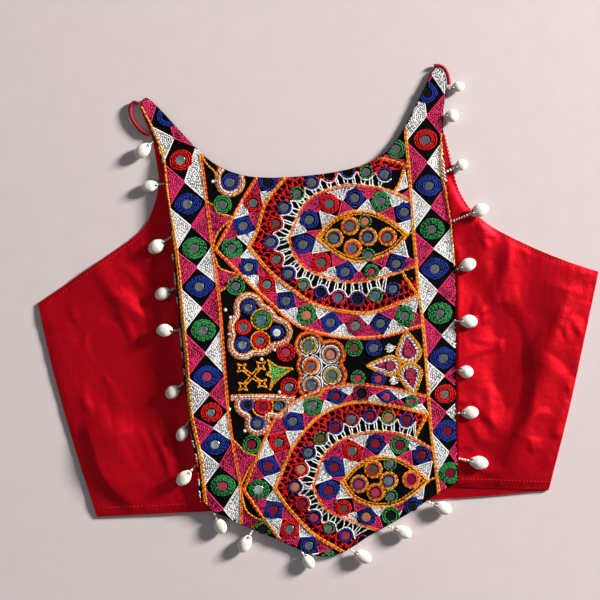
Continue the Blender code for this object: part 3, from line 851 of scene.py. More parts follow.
def ring(mirror, across, along, power, start=RING_START, width=1.4):
    """Rounds of chain stitch from a circle at start out to the ring's shape."""
    angles = np.linspace(0, 2 * np.pi, 73)
    cos, sin = np.abs(np.cos(angles)) / along, np.abs(np.sin(angles)) / across
    reach = (cos ** power + sin ** power) ** (-1 / power)
    way = direction(angles + mirror.turn)
    rounds = max(1, round((reach.mean() - start) * mirror.size / width))
    for number in range(rounds):
        radius = mirror.size * (start + (reach - start) * (number + 0.5) / rounds)
        line = even(mirror.place + way * radius[:, None], 1.5)[:-1]
        count = len(line)
        # The rounds and their stitches are painted lighter and darker by turns, as painted highlights and
        # shade.
        sew(mirror.ring, line + scatter.normal(0, 0.1, line.shape),
            heading(line) + (0.5 if number % 2 else -0.5) + scatter.normal(0, 0.15, count),
            2.1 * scatter.uniform(0.85, 1.15, count), width * 0.9, RING_LIFT - 0.1 * number,
            np.resize([0.3, -0.22, 0.05, -0.12] if number % 2 else [-0.22, 0.3], count))


def mount_mirror(mirror, shape=None, **options):
    """Sews a mirror's ring and notes its glass, unless it is a gap in its row."""
    if mirror.ring == "gap":
        return
    across, along, power = shape or RING_SHAPES[mirror.ring]
    ring(mirror, across, along, power, **options)
    if hoop["shape"] is None or inside(hoop["shape"], mirror.place[None, :])[0]:
        GLASS.append(mirror)


def mount_round(mirror, reach, start=3.9):
    """Mounts a mirror in a round, narrow ring, as in the nets and the eyes."""
    mount_mirror(mirror, (reach, reach, 2.0), start=start)

# %% [markdown]
# ## Triangles between the mirrors
# The triangle on each side of the band has its base on the ruled line, from one mirror's level to the next,
# and its point half way across. Opposite triangles are magenta and white, and change over at every mirror.
# What is left bare round a mirror is the black diamond that its ring nearly fills.

# %% Borders and bands
OPPOSITE = {"magenta": "white", "white": "magenta"}
BandSize = namedtuple("BandSize", "room scale")  # mm kept clear round a mirror, and its ring's size
BORDER, ALMOND_BAND = BandSize(8.9, 1.0), BandSize(7.4, 0.88)


def triangle(line, start_mirror, end_mirror):
    """The base on the line between two mirrors' levels, and the point between the mirrors."""
    first, last = nearest(line, start_mirror.place), nearest(line, end_mirror.place)
    base = line[min(first, last):max(first, last) + 1]
    if len(base) < 3:
        return None
    point = (start_mirror.place + end_mirror.place) / 2
    shape = np.concatenate([base, [point + 0.03 * (point - base.mean(axis=0))]])
    return base.mean(axis=0) + (shape - base.mean(axis=0)) * 0.97


def ring_in_band(band, mirror, scale):
    """A ring's shape, drawn out or in to reach the band's nearer line."""
    width = min(np.linalg.norm(line[nearest(line, mirror.place)] - mirror.place)
                for line in (band.outer, band.inner))
    across, along, power = RING_SHAPES[mirror.ring]
    return min(across * 1.12, max(width * 0.98, along)) * scale, along * scale, power


def work_band(band, size):
    colour = band.first
    for one, other in zip(band.mirrors, band.mirrors[1:]):
        for line, thread in ((band.outer, colour), (band.inner, OPPOSITE[colour])):
            shape = triangle(line, one, other)
            if shape is not None:
                fan(thread, shape, shape[-1], band.mirrors, size.room)
        colour = OPPOSITE[colour]
    for mirror in band.mirrors:
        if mirror.ring != "gap":
            mount_mirror(mirror, ring_in_band(band, mirror, size.scale))


for band in (LEFT_BAND, RIGHT_BAND):
    work_band(band, BORDER)
hoop["shape"] = FIELD
for band in BANDS[2:]:
    work_band(band, ALMOND_BAND)
print("with the bands:", stitch_count(), "stitches")

# %% [markdown]
# ## The nets
# Between the almond's bands the cloth shows through two nets. The red one is close work with staggered rows
# of small slots left open. The white one is a scalloped thread round the mirrors, and bars that run from it
# to the next line.

# %% The red net
def strip_between(near, far, step):
    """Rows of places across a strip, from one line to the other."""
    count = int((run_of(near)[-1] + run_of(far)[-1]) / 2 / step)
    return at(near, np.linspace(0, run_of(near)[-1], count)), at(far, np.linspace(0, run_of(far)[-1], count))


NET_PITCH = 1.2  # mm between the red net's rows
SLOT_PITCH = 4.8  # mm from one slot to the next along the net
SLOT_DEPTHS = (3.6, 8.6, 13.4)  # mm of the three rows of slots from the far line
SLOT_WIDTH, SLOT_LENGTH = 1.45, 2.2  # half sizes of a slot


def red_net(near, far, mirrors):
    """Close red work from the far line in to the mirrors, with staggered rows of slots left open."""
    for i, (start, end) in enumerate(zip(*strip_between(near, far, NET_PITCH))):
        span = np.linalg.norm(end - start)
        depth = np.arange(0.9, span + 3, 1.7)
        points = end + (start - end) / span * depth[:, None]
        keep = ~blocked_by(mirrors, points, 5.0)
        lean = np.zeros(len(depth))  # the stitches bend round each slot
        for row, deep in enumerate(SLOT_DEPTHS):
            beside = ((i * NET_PITCH / SLOT_PITCH + 0.5 * (row % 2)) % 1 - 0.5) * SLOT_PITCH
            middle_depth = deep + 0.7 * np.sin(i * NET_PITCH / SLOT_PITCH // 1 * 2.3 + row)
            past = depth - middle_depth
            keep &= (beside / SLOT_WIDTH) ** 2 + (past / SLOT_LENGTH) ** 2 > 1
            lean += 0.4 * np.sign(beside) * np.clip(past / 2.5, -1, 1) * (np.abs(past) < 2.6)
        count = keep.sum()
        sew("red", points[keep] + scatter.normal(0, 0.12, (count, 2)),
            turn_of(start - end) + lean[keep] + scatter.normal(0, 0.15, count), 2.4, 1.2,
            0.1 + scatter.uniform(-0.1, 0.1, count), scatter.choice([-0.3, 0.0, 0.25], count))

# %% The white net
SCALLOP_REACH = 6.3  # mm from a mirror's middle
SCALLOP_TURNS = (-1.1, -0.55, 0, 0.55, 1.1)
BAR_PITCH = 3.7
BAR_LENGTHS = (2, 13)  # mm; a shorter or longer bar is left out


def white_net(row, inner, mirrors):
    """A scalloped thread round the inner side of each mirror, and bars from it to the inner line."""
    def towards(place):
        step = inner[nearest(inner, place)] - place
        return step / max(np.linalg.norm(step), 0.01)

    corners = []
    for one, other in zip(mirrors, mirrors[1:]):
        way = towards(one.place)
        side = (other.place - one.place) - ((other.place - one.place) @ way) * way
        side = side / np.linalg.norm(side)
        if one.ring != "gap":
            reach = SCALLOP_REACH * one.size ** 0.5
            corners += [one.place + reach * (way * np.cos(t) + side * np.sin(t)) for t in SCALLOP_TURNS]
        corners.append((one.place + other.place) / 2 + 0.4 * way)
    scallop = curve(*corners)
    rope("white", scallop, pitch=1.5, width=1.15, slant=0.15, lift=0.4, painted_light_beat=0.1)
    for i, place in enumerate(even(row, BAR_PITCH)):
        way = towards(place)
        along = left_of(way) * (0.9 if i % 2 else -0.9)
        top = scallop[nearest(scallop, place + 5 * way)]
        foot = inner[nearest(inner, place + 9 * way)] - 1.3 * way + along
        if BAR_LENGTHS[0] < np.linalg.norm(foot - top) < BAR_LENGTHS[1]:
            bar = np.array([top, (top + foot) / 2 - 0.3 * along, foot])
            rope("white", bar, pitch=1.5, width=1.1, slant=0.0, lift=0.3, painted_light_beat=0.1)
            sew("white", foot[None, :], turn_of(way) + 1.57, 3.0, 1.1, 0.3, 0.1)

# %% Both nets of both almonds
for lines, bands, net_mirrors, eye, eyes, leaflets in ALMONDS:
    for near, far in zip(lines["net"], lines["second"]):
        if "above" in lines and far is lines["second"][0]:
            far = chain(lines["above"], far)
        red_net(near, far, net_mirrors)
    white_net(chain(*lines["net"]), chain(*lines["inner"]), net_mirrors)
    for mirror in net_mirrors:
        mount_round(mirror, 5.7)
print("with the nets:", stitch_count(), "stitches")

# %% [markdown]
# ## Lines of chain stitch
# Orange chain stitch draws every outline, twice over where two shapes meet. On the almonds the outer cord is
# nearer red, so the pair reads as one bright line.

# %% Outlines
hoop["shape"] = None
plait(LEFT_OUTER, width=3.3)
LEFT_CORNER, RIGHT_CORNER = 126, 147  # past the neck's corners the straps' inner edges carry no cord
plait(LEFT_INNER[LEFT_INNER[:, 1] < LEFT_CORNER], ("red_orange", "orange"))
plait(RIGHT_INNER[RIGHT_INNER[:, 1] < RIGHT_CORNER])
STRAP_TIP = np.array([(-141, 163), (-139.5, 170), (-131, 170), (-127, 163.5), (-136, 160)])
fill("magenta", STRAP_TIP, 0.9)
RIGHT_TRIM = curve((96.5, 141), (95.8, 123), (96.4, 111), (98.2, 101), (101, 90), (103.7, 74), (104.9, 62),
                   (106, 50), (107, 39))
plait(RIGHT_TRIM, width=2.0)
rope("white", RIGHT_TRIM, pitch=2.9, width=1.2, side=2.1)
hoop["shape"] = FIELD
for lines, bands, net_mirrors, eye, eyes, leaflets in ALMONDS:
    for name, threads in (("outer", ("orange", "red_orange")), ("second", ("orange", "orange")),
                          ("inner", ("red_orange", "orange"))):
        for half in lines[name]:
            plait(half, threads)
    for half in eye:
        plait(half, width=2.3)
        rope("orange", half, side=-2.4, width=0.9, pitch=1.5)
    for place, name in eyes:
        mount_round(mirror_at(place, name), 5.0)
        plait(circle(place, 6.1), width=2.2)
    for place, name in leaflets:
        mount_round(mirror_at(place, name), 6.2)
print("with the outlines:", stitch_count(), "stitches")

# %% [markdown]
# ## The figures of the field
# Between the almonds lie small figures: round-lobed flowers of mirrors, three petals, a star and an arrow,
# and leaves in the corners. A flower's outline is found as a thread would be laid round a cluster of mirrors,
# at an even reach from each, so it needs only the mirrors' places.

# %% Shapes of the figures
def lobed(places, reach, smoothing=3):
    """The outline at a reach round each place, as seen from their centre."""
    places = np.array(places, float)
    centre = places.mean(axis=0)
    way = direction(np.linspace(0, 2 * np.pi, 121)[:-1])
    best = np.zeros(len(way))
    for to in places - centre:
        along = way @ to
        room = reach ** 2 - (to @ to - along ** 2)
        best = np.where(room > 0, np.maximum(best, along + np.sqrt(np.maximum(room, 0))), best)
    for _ in range(smoothing):
        best = (np.roll(best, 1) + 2 * best + np.roll(best, -1)) / 4
    outline = centre + way * best[:, None]
    return even(np.concatenate([outline, outline[:1]]), 0.8)


def petal(tip, centre, radius):
    """A drop shape: a round end, and two sides that run in a shallow curve to the tip."""
    tip, centre = np.array(tip, float), np.array(centre, float)
    back = turn_of(centre - tip)
    arc = [centre + radius * direction(back + t) for t in np.linspace(-1.7, 1.7, 9)]
    first, last = (tip + 0.35 * (end - tip) + 0.1 * (end - centre) for end in (arc[0], arc[-1]))
    return curve(tip, first, *arc, last, tip)


def braid(line, inward=1.0):
    """A white braid between two orange threads, as round the flowers."""
    rope("orange", line, width=1.1, pitch=1.6)
    for side in (1.25, 2.75):
        rope("white", line, side=side * inward, width=1.55, pitch=1.35, lift=0.35, slant=0.45, painted_light_beat=0.3)
    rope("wine", line, side=2.0 * inward, width=0.5, pitch=1.7, lift=0.75, slant=0.0)
    rope("red_orange", line, side=1.3 * inward, width=0.6, pitch=4.6, lift=0.9, slant=0.7)
    rope("orange", line, side=3.75 * inward, width=0.9, pitch=1.6)


def free_rope(thread, line, mirrors, room, width):
    """A line of chain stitch that stops short of the mirrors."""
    line = even(line, 1.5)
    free = ~blocked_by(mirrors, line, room)
    # The tones lean dark: painted shade over the white loops of the clover.
    tones = scatter.choice([-0.45, -0.15, 0.15], free.sum())
    sew(thread, line[free], heading(line)[free] + 0.3, 2.2, width, 0.3, tones)

# %% The flower, and the half flower cut off by a straight braid
FLOWER = {
    (-54, 6): "blue:grey:0.9",
    (-58, -9.5): "red:grey:0.9",
    (-58.5, -23): "blue:grey:0.95",
    (-44, -3.5): "green:sky",
    (-45, -20): "red:grey:0.9",
    (-32, -13.5): "blue:white:0.8",
}
HALF_FLOWER = {
    (-55, -69.5): "blue:dark:0.85",
    (-43, -71): "red:wine",
    (-47, -84): "blue:grey:0.9",
    (-31, -71): "teal:sky:0.6",
}
HALF_FLOWER_TOP = -62.5
braid(lobed(list(FLOWER), 11.4))
for place, name in FLOWER.items():
    mount_round(mirror_at(place, name), 6.6)
rope("orange", circle((-44, -3.5), 7.9), width=1.2)
rope("orange", circle((-45, -20), 7.2), width=1.1)

half_flower = lobed(list(HALF_FLOWER), 9.6)
half_flower = half_flower[half_flower[:, 1] < HALF_FLOWER_TOP]
# The line starts past its widest gap, where it was cut.
start = int(np.argmax(np.linalg.norm(np.diff(half_flower, axis=0), axis=1))) + 1
braid(np.roll(half_flower, -start, axis=0))
braid(curve((-67, -62.5), (-40, -62), (-19, -63.5)), inward=-1)
for place, name in HALF_FLOWER.items():
    mount_round(mirror_at(place, name), 6.2, start=3.7)
rope("orange", circle((-43, -71), 8.0), width=1.2)
print("with the flowers:", stitch_count(), "stitches")

# %% The clover: white loops behind five mirrors
CLOVER = {
    (-7, -23.5): "green",
    (10, -30.5): "blue:tan",
    (-5.5, -39.5): "red",
    (11, -47): "green",
    (-5, -54.5): "blue",
}
clover_mirrors = [mirror_at(place, name) for place, name in CLOVER.items()]
clover_line = lobed(list(CLOVER), 10.4)
plait(clover_line, ("orange", "red_orange"), width=2.4)
rope("wine", clover_line, side=2.0, width=0.9, pitch=1.6)
clover_middle = clover_line.mean(axis=0)
hoop["shape"] = clover_middle + (clover_line - clover_middle) * 0.86
for mirror in clover_mirrors:
    others = [m for m in clover_mirrors if m is not mirror]
    for reach in (6.7, 8.5):
        free_rope("white", circle(mirror.place, reach), others, reach - 0.4, width=0.95)
hoop["shape"] = FIELD
for mirror in clover_mirrors:
    mount_round(mirror, 4.9, start=3.7)
    rope("orange", circle(mirror.place, 5.5), width=1.3, pitch=1.6)
print("with the clover:", stitch_count(), "stitches")

# %% The petals, one line inside the other round a mirror
Petal = namedtuple("Petal", "tip centre radius")
PETALS = [
    Petal((68.6, -13), (70.5, -28.5), 9.3),
    Petal((38.5, -39.5), (56.5, -39.5), 7.4),
    Petal((74.5, -61), (71.8, -46.5), 8.8),
]
for tip, centre, radius in PETALS:
    tip, centre = np.array(tip), np.array(centre)
    plait(petal(tip, centre, radius), width=2.0)
    for share, narrower in ((0.88, 1.9), (0.78, 3.0)):
        line = petal(tip * share + centre * (1 - share), centre, radius - narrower)
        # The white lines are painted a little darker, as painted shade.
        rope("white", line, width=0.9, pitch=1.5, painted_light_beat=0.35, tone_and_shade=-0.15)
    inner_line = petal(tip * 0.66 + centre * 0.34, centre, radius - 3.9)
    seat = mirror_at(centre, "wine:rose:0.85")
    fill("magenta", inner_line, 0.8, [seat], room=4.4, length=1.8, pitch=0.95)
    mount_round(seat, 4.6, start=3.6)
print("with the petals:", stitch_count(), "stitches")

# %% Single mirrors, bobbles and white pads
FIELD_MIRRORS = {
    (-74.5, 86): "green",
    (-64, 22.5): "green",
    (-25, -29): "red:rose",
    (-22.5, -56): "red",
    (28, -25.5): "green:brown:0.95",
    (43.5, -25.5): "blue:grey:0.9",
    (31, -49): "green:rose:0.8",
    (47, -49.5): "blue:rose:0.8",
    (-51.5, -100.5): "green:wine",
    (-43.5, -167): "green:dark",
    (61, 129.5): "green",
}
BOBBLES = [(-68, -2), (-69, -15), (-72, 4), (-55, -33), (-44, -34.5), (-34, -27), (-69, -73), (-57, -90),
           (-23, -75), (-30, -60), (57, -25.5), (58.5, -50.5), (-82, 104)]
WHITE_PADS = [(56, -25.7), (59.3, -50.8)]
for place, name in FIELD_MIRRORS.items():
    mount_mirror(mirror_at(place, name), (7.6, 7.4, 2.0))
for place in BOBBLES:
    for turn in (0.3, 1.35, 2.4):
        sew("white", np.array([place], float), turn, 3.2, 1.5, 0.3)
for place in WHITE_PADS:
    oval = place + circle((0, 0), 3.3) * (1.15, 0.95)
    fill("white", oval, 0.4, length=3.0, pitch=1.1, lift=0.4)
print("with the single mirrors:", stitch_count(), "stitches")

# %% Star and arrow
STAR = np.array([-51.3, -47.6])
STAR_TIPS = [(-59.4, -41.2), (-44.5, -39.5), (-58.4, -55.4), (-43.4, -53.2)]
TIP_REACH = (1.7, 4.9)  # of the small four-pointed star on each arm, at its hollows and its points
for tip in STAR_TIPS:
    tip = np.array(tip)
    small_star = np.array([tip + TIP_REACH[i % 2] * direction(i * np.pi / 4) for i in range(9)])
    rope("orange", even(small_star, 0.8), width=1.2, pitch=1.5, slant=0.3)
    way = (STAR - tip) / np.linalg.norm(STAR - tip)
    for side in (-1.1, 1.1):
        arm = np.array([end + side * left_of(way) for end in (tip + 1.8 * way, STAR - 1.6 * way)])
        rope("orange", arm, width=1.2, pitch=1.5, slant=0.3)

ARROW = chain(curve((-38.9, -35.3), (-31, -40.3), (-20.1, -41.7)),
              curve((-20.1, -41.7), (-29.6, -48.6), (-37.7, -57.8)),
              np.array([(-37.7, -57.8), (-35.5, -48.8), (-40.4, -46.3), (-36.9, -43.6), (-38.9, -35.3)]))
fill("bright_green", ARROW, 0.5, length=2.0)
rope("orange", ARROW, width=1.3)
print("with the star and arrow:", stitch_count(), "stitches")

# %% Leaves and corners
LEAVES = [
    [(-86, 88), (-80, 84), (-78, 79), (-67, 76), (-75, 68), (-80, 60), (-82, 51)],
    [(-80, 44), (-76, 36), (-62, 31), (-69, 27), (-71, 22), (-77, 18)],
    [(-67, -96), (-62, -101), (-56, -107), (-46, -111), (-53, -118), (-58, -128), (-61, -134)],
    [(-59, -142), (-56, -152), (-49, -158), (-42, -161), (-50, -165), (-60, -168)],
]
for leaf in LEAVES:
    edge = curve(*leaf)
    fill("magenta", edge, 0.9, length=2.3)
    rope("orange", edge, width=1.3)
TOP_FLOWER = (-68.5, 103.5)
braid(lobed([TOP_FLOWER, (-69, 107)], 11.0))
mount_round(mirror_at(TOP_FLOWER, "blue"), 7.0)
rope("orange", curve((-92, 127), (-87, 118), (-81, 112), (-78, 106)), width=1.3)
fill("red", curve((-82, 120), (-74, 117), (-76, 112), (-82, 120)), 0.3)
plait(curve((59.5, 95.5), (64, 104), (67.2, 114.4)), width=2.2)
plait(curve((47, 122.5), (58, 120), (69, 116)), ("orange", "red_orange"), width=2.2)
fan("white", np.array([(68.0, 110.5), (70, 100), (61, 96.5)]), (61, 96.5))
fan("magenta", np.array([(72.4, 99), (70.5, 89.7), (66, 93.6)]), (66, 93.6))
fill("magenta", np.array([(51, 125.5), (58, 124), (69, 120.5), (69, 117.5), (50, 122.5)]), 0.2)
plait(curve((65, 34), (73, 22), (78, 15)), width=2.2)
plait(curve((76, -95), (81, -85), (85, -77)), width=2.2)
for lines, bands, net_mirrors, eye, eyes, leaflets in ALMONDS:
    tip = eye[0][-1]
    rope("orange", curve(tip, tip + (4, 1.5), tip + (8, 2)), width=1.4)
print(stitch_count(), "stitches in all:", {name: sum(map(len, parts)) for name, parts in THREAD_BOX.items()})

# %% [markdown]
# ## Thread
# The thread is untwisted cotton floss, dyed. It is matt with a slight sheen along the stitch. The colour runs
# a little lighter and darker from stitch to stitch: partly at random, and partly as painted light and shade,
# with the ramp's dark end as painted shade and its light end as painted highlight.

# %% Floss
FLOSS = {
    "black": ("#040405", "#16141A"),
    "magenta": ("#580222", "#E0326C"),
    "white": ("#8E8C92", "#F8F6F4"),
    "blue": ("#020526", "#1C3498"),
    "green": ("#041E0C", "#34944E"),
    "red": ("#7C0206", "#E61418"),
    "wine": ("#4A0414", "#A8284A"),
    "orange": ("#C24C02", "#F8AC22"),
    "red_orange": ("#A01402", "#F46012"),
    "bright_green": ("#0C5A20", "#78D868"),
    "teal": ("#0A3A52", "#2A7088"),
    "seam_red": ("#7A0614", "#C81A28"),
}


def floss(name):
    dark, light = FLOSS[name]
    material, shader = new_material(name + "_cotton_floss", Roughness=0.5, Specular_IOR_Level=0.18)
    tone_and_shade = add_node(material, "ShaderNodeAttribute", attribute_name="tone_and_shade")
    place = own_place(material)
    # A dye lot's cloudiness, over patches of about 12 mm.
    cloud = add_node(material, "ShaderNodeTexNoise", {"Vector": place, "Scale": 80.0})
    total = add_node(material, "ShaderNodeMath", {0: tone_and_shade.outputs["Fac"], 1: cloud.outputs["Fac"]},
                     operation="ADD")
    colour_by(material, shader, total.outputs["Value"], [(0.55, dark), (1.3, light)])
    # Strands of the floss, about 0.35 mm apart.
    strands = add_node(material, "ShaderNodeTexNoise", {"Vector": place, "Scale": 2800.0})
    bump_by(material, shader, strands.outputs["Fac"], 0.35, 0.0002)
    return material

# %% Stitches to pieces
STITCH_HEIGHT = 0.6  # of its width
STITCH_LIFT = 0.18  # mm from the cloth to the stitch's middle
MIDDLE_TONE, TONE_SPREAD = 0.45, 0.10


def lay_stitches(rows, height=ground):
    """All the stitches of one thread as arrays of points and tones."""
    points, turn, length = rows[:, :2], rows[:, 2], rows[:, 3]
    width, lift, tone_and_shade = rows[:, 4], rows[:, 5], rows[:, 6]
    along = STITCH_POINTS[None, :, 0] * length[:, None]
    across = STITCH_POINTS[None, :, 1] * width[:, None]
    up = STITCH_POINTS[None, :, 2] * width[:, None] * STITCH_HEIGHT
    x = points[:, :1] + along * np.cos(turn)[:, None] - across * np.sin(turn)[:, None]
    y = points[:, 1:] + along * np.sin(turn)[:, None] + across * np.cos(turn)[:, None]
    z = height(x, y) + STITCH_LIFT + lift[:, None] + up
    shade = np.clip(MIDDLE_TONE + tone_and_shade + scatter.normal(0, TONE_SPREAD, len(rows)), 0.0, 1.0)
    return np.stack([x, y, z], axis=2), np.repeat(shade[:, None], len(STITCH_POINTS), axis=1)


def mesh_of_copies(name, points, faces, tones):
    """One mesh from many copies of a small shape. points is copies by corners by 3, in mm."""
    count, corners = points.shape[:2]
    loops = np.concatenate([np.array(f) for f in faces])
    sizes = np.array([len(f) for f in faces])
    starts = np.concatenate([[0], np.cumsum(sizes)[:-1]])
    numbers = np.arange(count)[:, None]
    mesh = bpy.data.meshes.new(name)
    mesh.vertices.add(count * corners)
    mesh.vertices.foreach_set("co", (points * MM).ravel())
    mesh.loops.add(count * len(loops))
    mesh.loops.foreach_set("vertex_index", (loops[None, :] + corners * numbers).ravel())
    mesh.polygons.add(count * len(faces))
    mesh.polygons.foreach_set("loop_start", (starts[None, :] + len(loops) * numbers).ravel())
    mesh.polygons.foreach_set("loop_total", np.tile(sizes, count))
    mesh.update(calc_edges=True)
    mesh.validate()
    mesh.attributes.new("tone_and_shade", "FLOAT", "POINT").data.foreach_set("value", tones.ravel())
    for polygon in mesh.polygons:
        polygon.use_smooth = True
    piece = bpy.data.objects.new(name, mesh)
    SCENE.objects.link(piece)
    return piece


def make_pieces(box, ending="_stitches", over_edge=False):
    """One piece for each thread of a box. Stitches past the panel's edge are left out, unless over_edge."""
    made = []
    for thread, parts in box.items():
        rows = np.concatenate(parts)
        if not over_edge:
            rows = rows[on_panel(rows[:, :2])]
        points, tones = lay_stitches(rows)
        piece = mesh_of_copies(thread + ending, points, STITCH_FACES, tones)
        finish_piece(piece, floss(thread), "embroidered_cloth")
        made.append(piece)
    return made

# %% The embroidery's pieces
embroidery = make_pieces(THREAD_BOX)
print(len(embroidery), "pieces, one for each thread")

# %% The mixed edge on the left, of short ends of thread over a black binding that stands out past the cloth
THREAD_BOX = {}
BINDING_SIDE, ENDS_SIDE = -2.8, -3.1  # mm, to the right of the edge's line
hoop["shape"] = None
LEFT_EDGE = [
    (curve((-110, 47), (-106, 8), (-102, -33), (-100.5, -45)),
     "white red red white white magenta blue white red red gap blue white white white gap white magenta gap "
     "white"),
    (curve((-97, -86), (-91, -113), (-88.5, -146)),
     "red magenta white gap white red gap red white gap white red"),
]
for line, threads in LEFT_EDGE:
    rope("black", line, pitch=1.4, width=2.6, side=BINDING_SIDE, lift=-0.4, slant=0.2)
    threads = threads.split()
    for thread, part in zip(threads, np.array_split(even(line, 0.8), len(threads))):
        if thread != "gap":
            rope(thread, part, pitch=1.5, width=1.1, side=ENDS_SIDE, lift=0.4, slant=0.5)
embroidery += make_pieces(THREAD_BOX, "_edge_stitches", over_edge=True)
print(stitch_count(), "stitches on the edge")

# %% [markdown]
# ## The mirrors' glass
# The discs are hand cut from blown, silvered glass, so they are nearly flat, and each has its own tilt.
# Silver seen through greenish glass mirrors the room as a plain grey. On some discs the colour is a painted
# reflection: the sky, pale and dark tints on the silvered ones, and the brown, tan, rose and wine of things
# mirrored in the others, with a painted highlight on the white one.

# %% Glass
# Tints of the glass. All but grey are painted reflections; white is a painted highlight.
GLASS_TINTS = {
    "grey": "#D2D8D6",
    "pale": "#F4F8F4",
    "white": "#FFFFFF",
    "sky": "#C4DCFA",
    "dark": "#46464C",
    "brown": "#6E4838",
    "tan": "#C8805C",
    "rose": "#B83A58",
    "wine": "#84142E",
}
PAINTED_REFLECTIONS = ("white", "brown", "tan", "rose", "wine")  # painted reflections, and a painted highlight on the white one, in the glass's own colour
BLOTCH_SHADE = 0.85  # of the tint, where the silver is worn


def darker(colour, share):
    return "#" + "".join(f"{int(int(colour[i:i + 2], 16) * share):02X}" for i in (1, 3, 5))


def silvered_glass(name):
    painted_reflection = name in PAINTED_REFLECTIONS
    material, shader = new_material(("painted_reflection" if painted_reflection else "silvered") + "_glass_" + name,
                                    Metallic=0.25 if painted_reflection else 1.0, Roughness=0.22)
    blotch = add_node(material, "ShaderNodeTexNoise",
                      {"Vector": own_place(material), "Scale": 420.0, "Detail": 4.0})
    tint = GLASS_TINTS[name]
    colour_by(material, shader, blotch.outputs["Fac"], [(0.32, darker(tint, BLOTCH_SHADE)), (0.6, tint)])
    return material

# %% One disc, a little domed
deselect()
bpy.ops.mesh.primitive_cylinder_add(vertices=16, radius=1.0, depth=0.14, end_fill_type="TRIFAN")
disc = bpy.context.object
bpy.ops.object.mode_set(mode="EDIT")
bpy.ops.mesh.select_all(action="SELECT")
bpy.ops.mesh.bevel(offset=0.04, segments=1, clamp_overlap=True)
bpy.ops.object.mode_set(mode="OBJECT")
DISC_POINTS = np.array([v.co[:] for v in disc.data.vertices])
dome = 0.02 * (1 - np.linalg.norm(DISC_POINTS[:, :2], axis=1) ** 2)
DISC_POINTS[:, 2] += np.where(DISC_POINTS[:, 2] > 0, dome, 0)
DISC_FACES = [tuple(p.vertices) for p in disc.data.polygons]
bpy.data.objects.remove(disc)
print("disc:", len(DISC_FACES), "faces")

# %% Discs in each tint
GLASS_LIFT = 0.45  # mm from the cloth to the disc's middle
SHADOW_CRESCENT_SHIFT = np.array([-0.2, -0.25])  # mm, down and to the left, so that black cloth shows at the glass's upper right as a painted shadow of the ring
on_cloth = on_panel(np.array([m.place for m in GLASS]), 2.6)
for tint in sorted({m.glass for m in GLASS}):
    chosen = [m for m, fits in zip(GLASS, on_cloth) if m.glass == tint and fits]
    if not chosen:
        continue
    discs = []
    for mirror in chosen:
        radius = GLASS_RADIUS * min(mirror.size, 1.0) * scatter.uniform(0.94, 1.04)
        tilt = scatter.normal(0, 0.035, 2)
        place = mirror.place + SHADOW_CRESCENT_SHIFT + DISC_POINTS[:, :2] * radius
        height = float(ground(*mirror.place)) + GLASS_LIFT + DISC_POINTS[:, 2] * radius
        height = height + DISC_POINTS[:, 0] * radius * tilt[0] + DISC_POINTS[:, 1] * radius * tilt[1]
        discs.append(np.column_stack([place, height]))
    tones = np.full(len(discs) * len(DISC_POINTS), 0.5)
    piece = mesh_of_copies(f"mirrors_{tint}", np.array(discs), DISC_FACES, tones)
    piece.data.shade_flat()
    finish_piece(piece, silvered_glass(tint), "embroidered_cloth")
    embroidery.append(piece)
print(on_cloth.sum(), "mirrors")

# %% [markdown]
# ## The panel's ground cloth
# The ground is black cotton in plain weave. It shows as a thin dark line between the shapes and as the bare
# field. It starts as a copy of the CAD panel, cut finer, and is moved as a whole to the creased height.

# %% Black cotton
def woven(material, operation, **wave):
    """The value of a plain weave: two sets of threads that cross."""
    sets = [add_node(material, "ShaderNodeTexWave", {"Vector": own_place(material), **wave},
                     bands_direction=axis).outputs["Fac"] for axis in ("X", "Y")]
    both = add_node(material, "ShaderNodeMath", dict(enumerate(sets)), operation=operation)
    return both.outputs["Value"]


black_cotton, shader = new_material("black_plain_weave_cotton", Roughness=0.9, Specular_IOR_Level=0.06)
# The real weave has a thread every 0.35 mm. It is drawn at 0.8 mm, so that it shows.
weave = woven(black_cotton, "MULTIPLY", Scale=400.0, Distortion=1.0)
colour_by(black_cotton, shader, weave, [(0.0, "#020203"), (1.0, "#080708")])
bump_by(black_cotton, shader, weave, 0.4, 0.0002)
print(black_cotton.name, "has", len(black_cotton.node_tree.nodes), "nodes")

# %% Ground cloth
panel = copy_of_node("embroidered_panel", "panel_ground_cloth")
bpy.ops.object.mode_set(mode="EDIT")
bpy.ops.mesh.select_all(action="SELECT")
bpy.ops.mesh.subdivide(number_cuts=2)
bpy.ops.object.mode_set(mode="OBJECT")
upper = set()
for polygon in panel.data.polygons:
    if polygon.normal.z > 0.4:
        upper.update(polygon.vertices)
upper = np.array(sorted(upper))
co = np.array([v.co[:] for v in panel.data.vertices])
x, y = co[:, 0] / MM, co[:, 1] / MM
# The lower face keeps its distance from the upper one, which is laid on the creased height.
co[:, 2] += (ground(x, y) - panel_solid_top(x, y)) * MM
co[upper, 2] = ground(x[upper], y[upper]) * MM
panel.data.vertices.foreach_set("co", co.ravel())
panel.data.update()
pick(panel)
bpy.ops.object.shade_smooth_by_angle(angle=math.radians(40))
finish_piece(panel, black_cotton, "embroidered_cloth", "embroidered_panel")
print(panel.name, "with", len(embroidery), "pieces sewn on it")

# %% [markdown]
# ## Red side fronts and back
# The rest of the blouse is one plain red cotton, woven close and polished, so it shines softly and creases
# sharply. The CAD solids carry the main folds. Each cloth here has its solid's outline and form, cut into
# small squares, with the main creases laid in one by one and a few dozen faint ones at random. It keeps clear
# of the layer below.

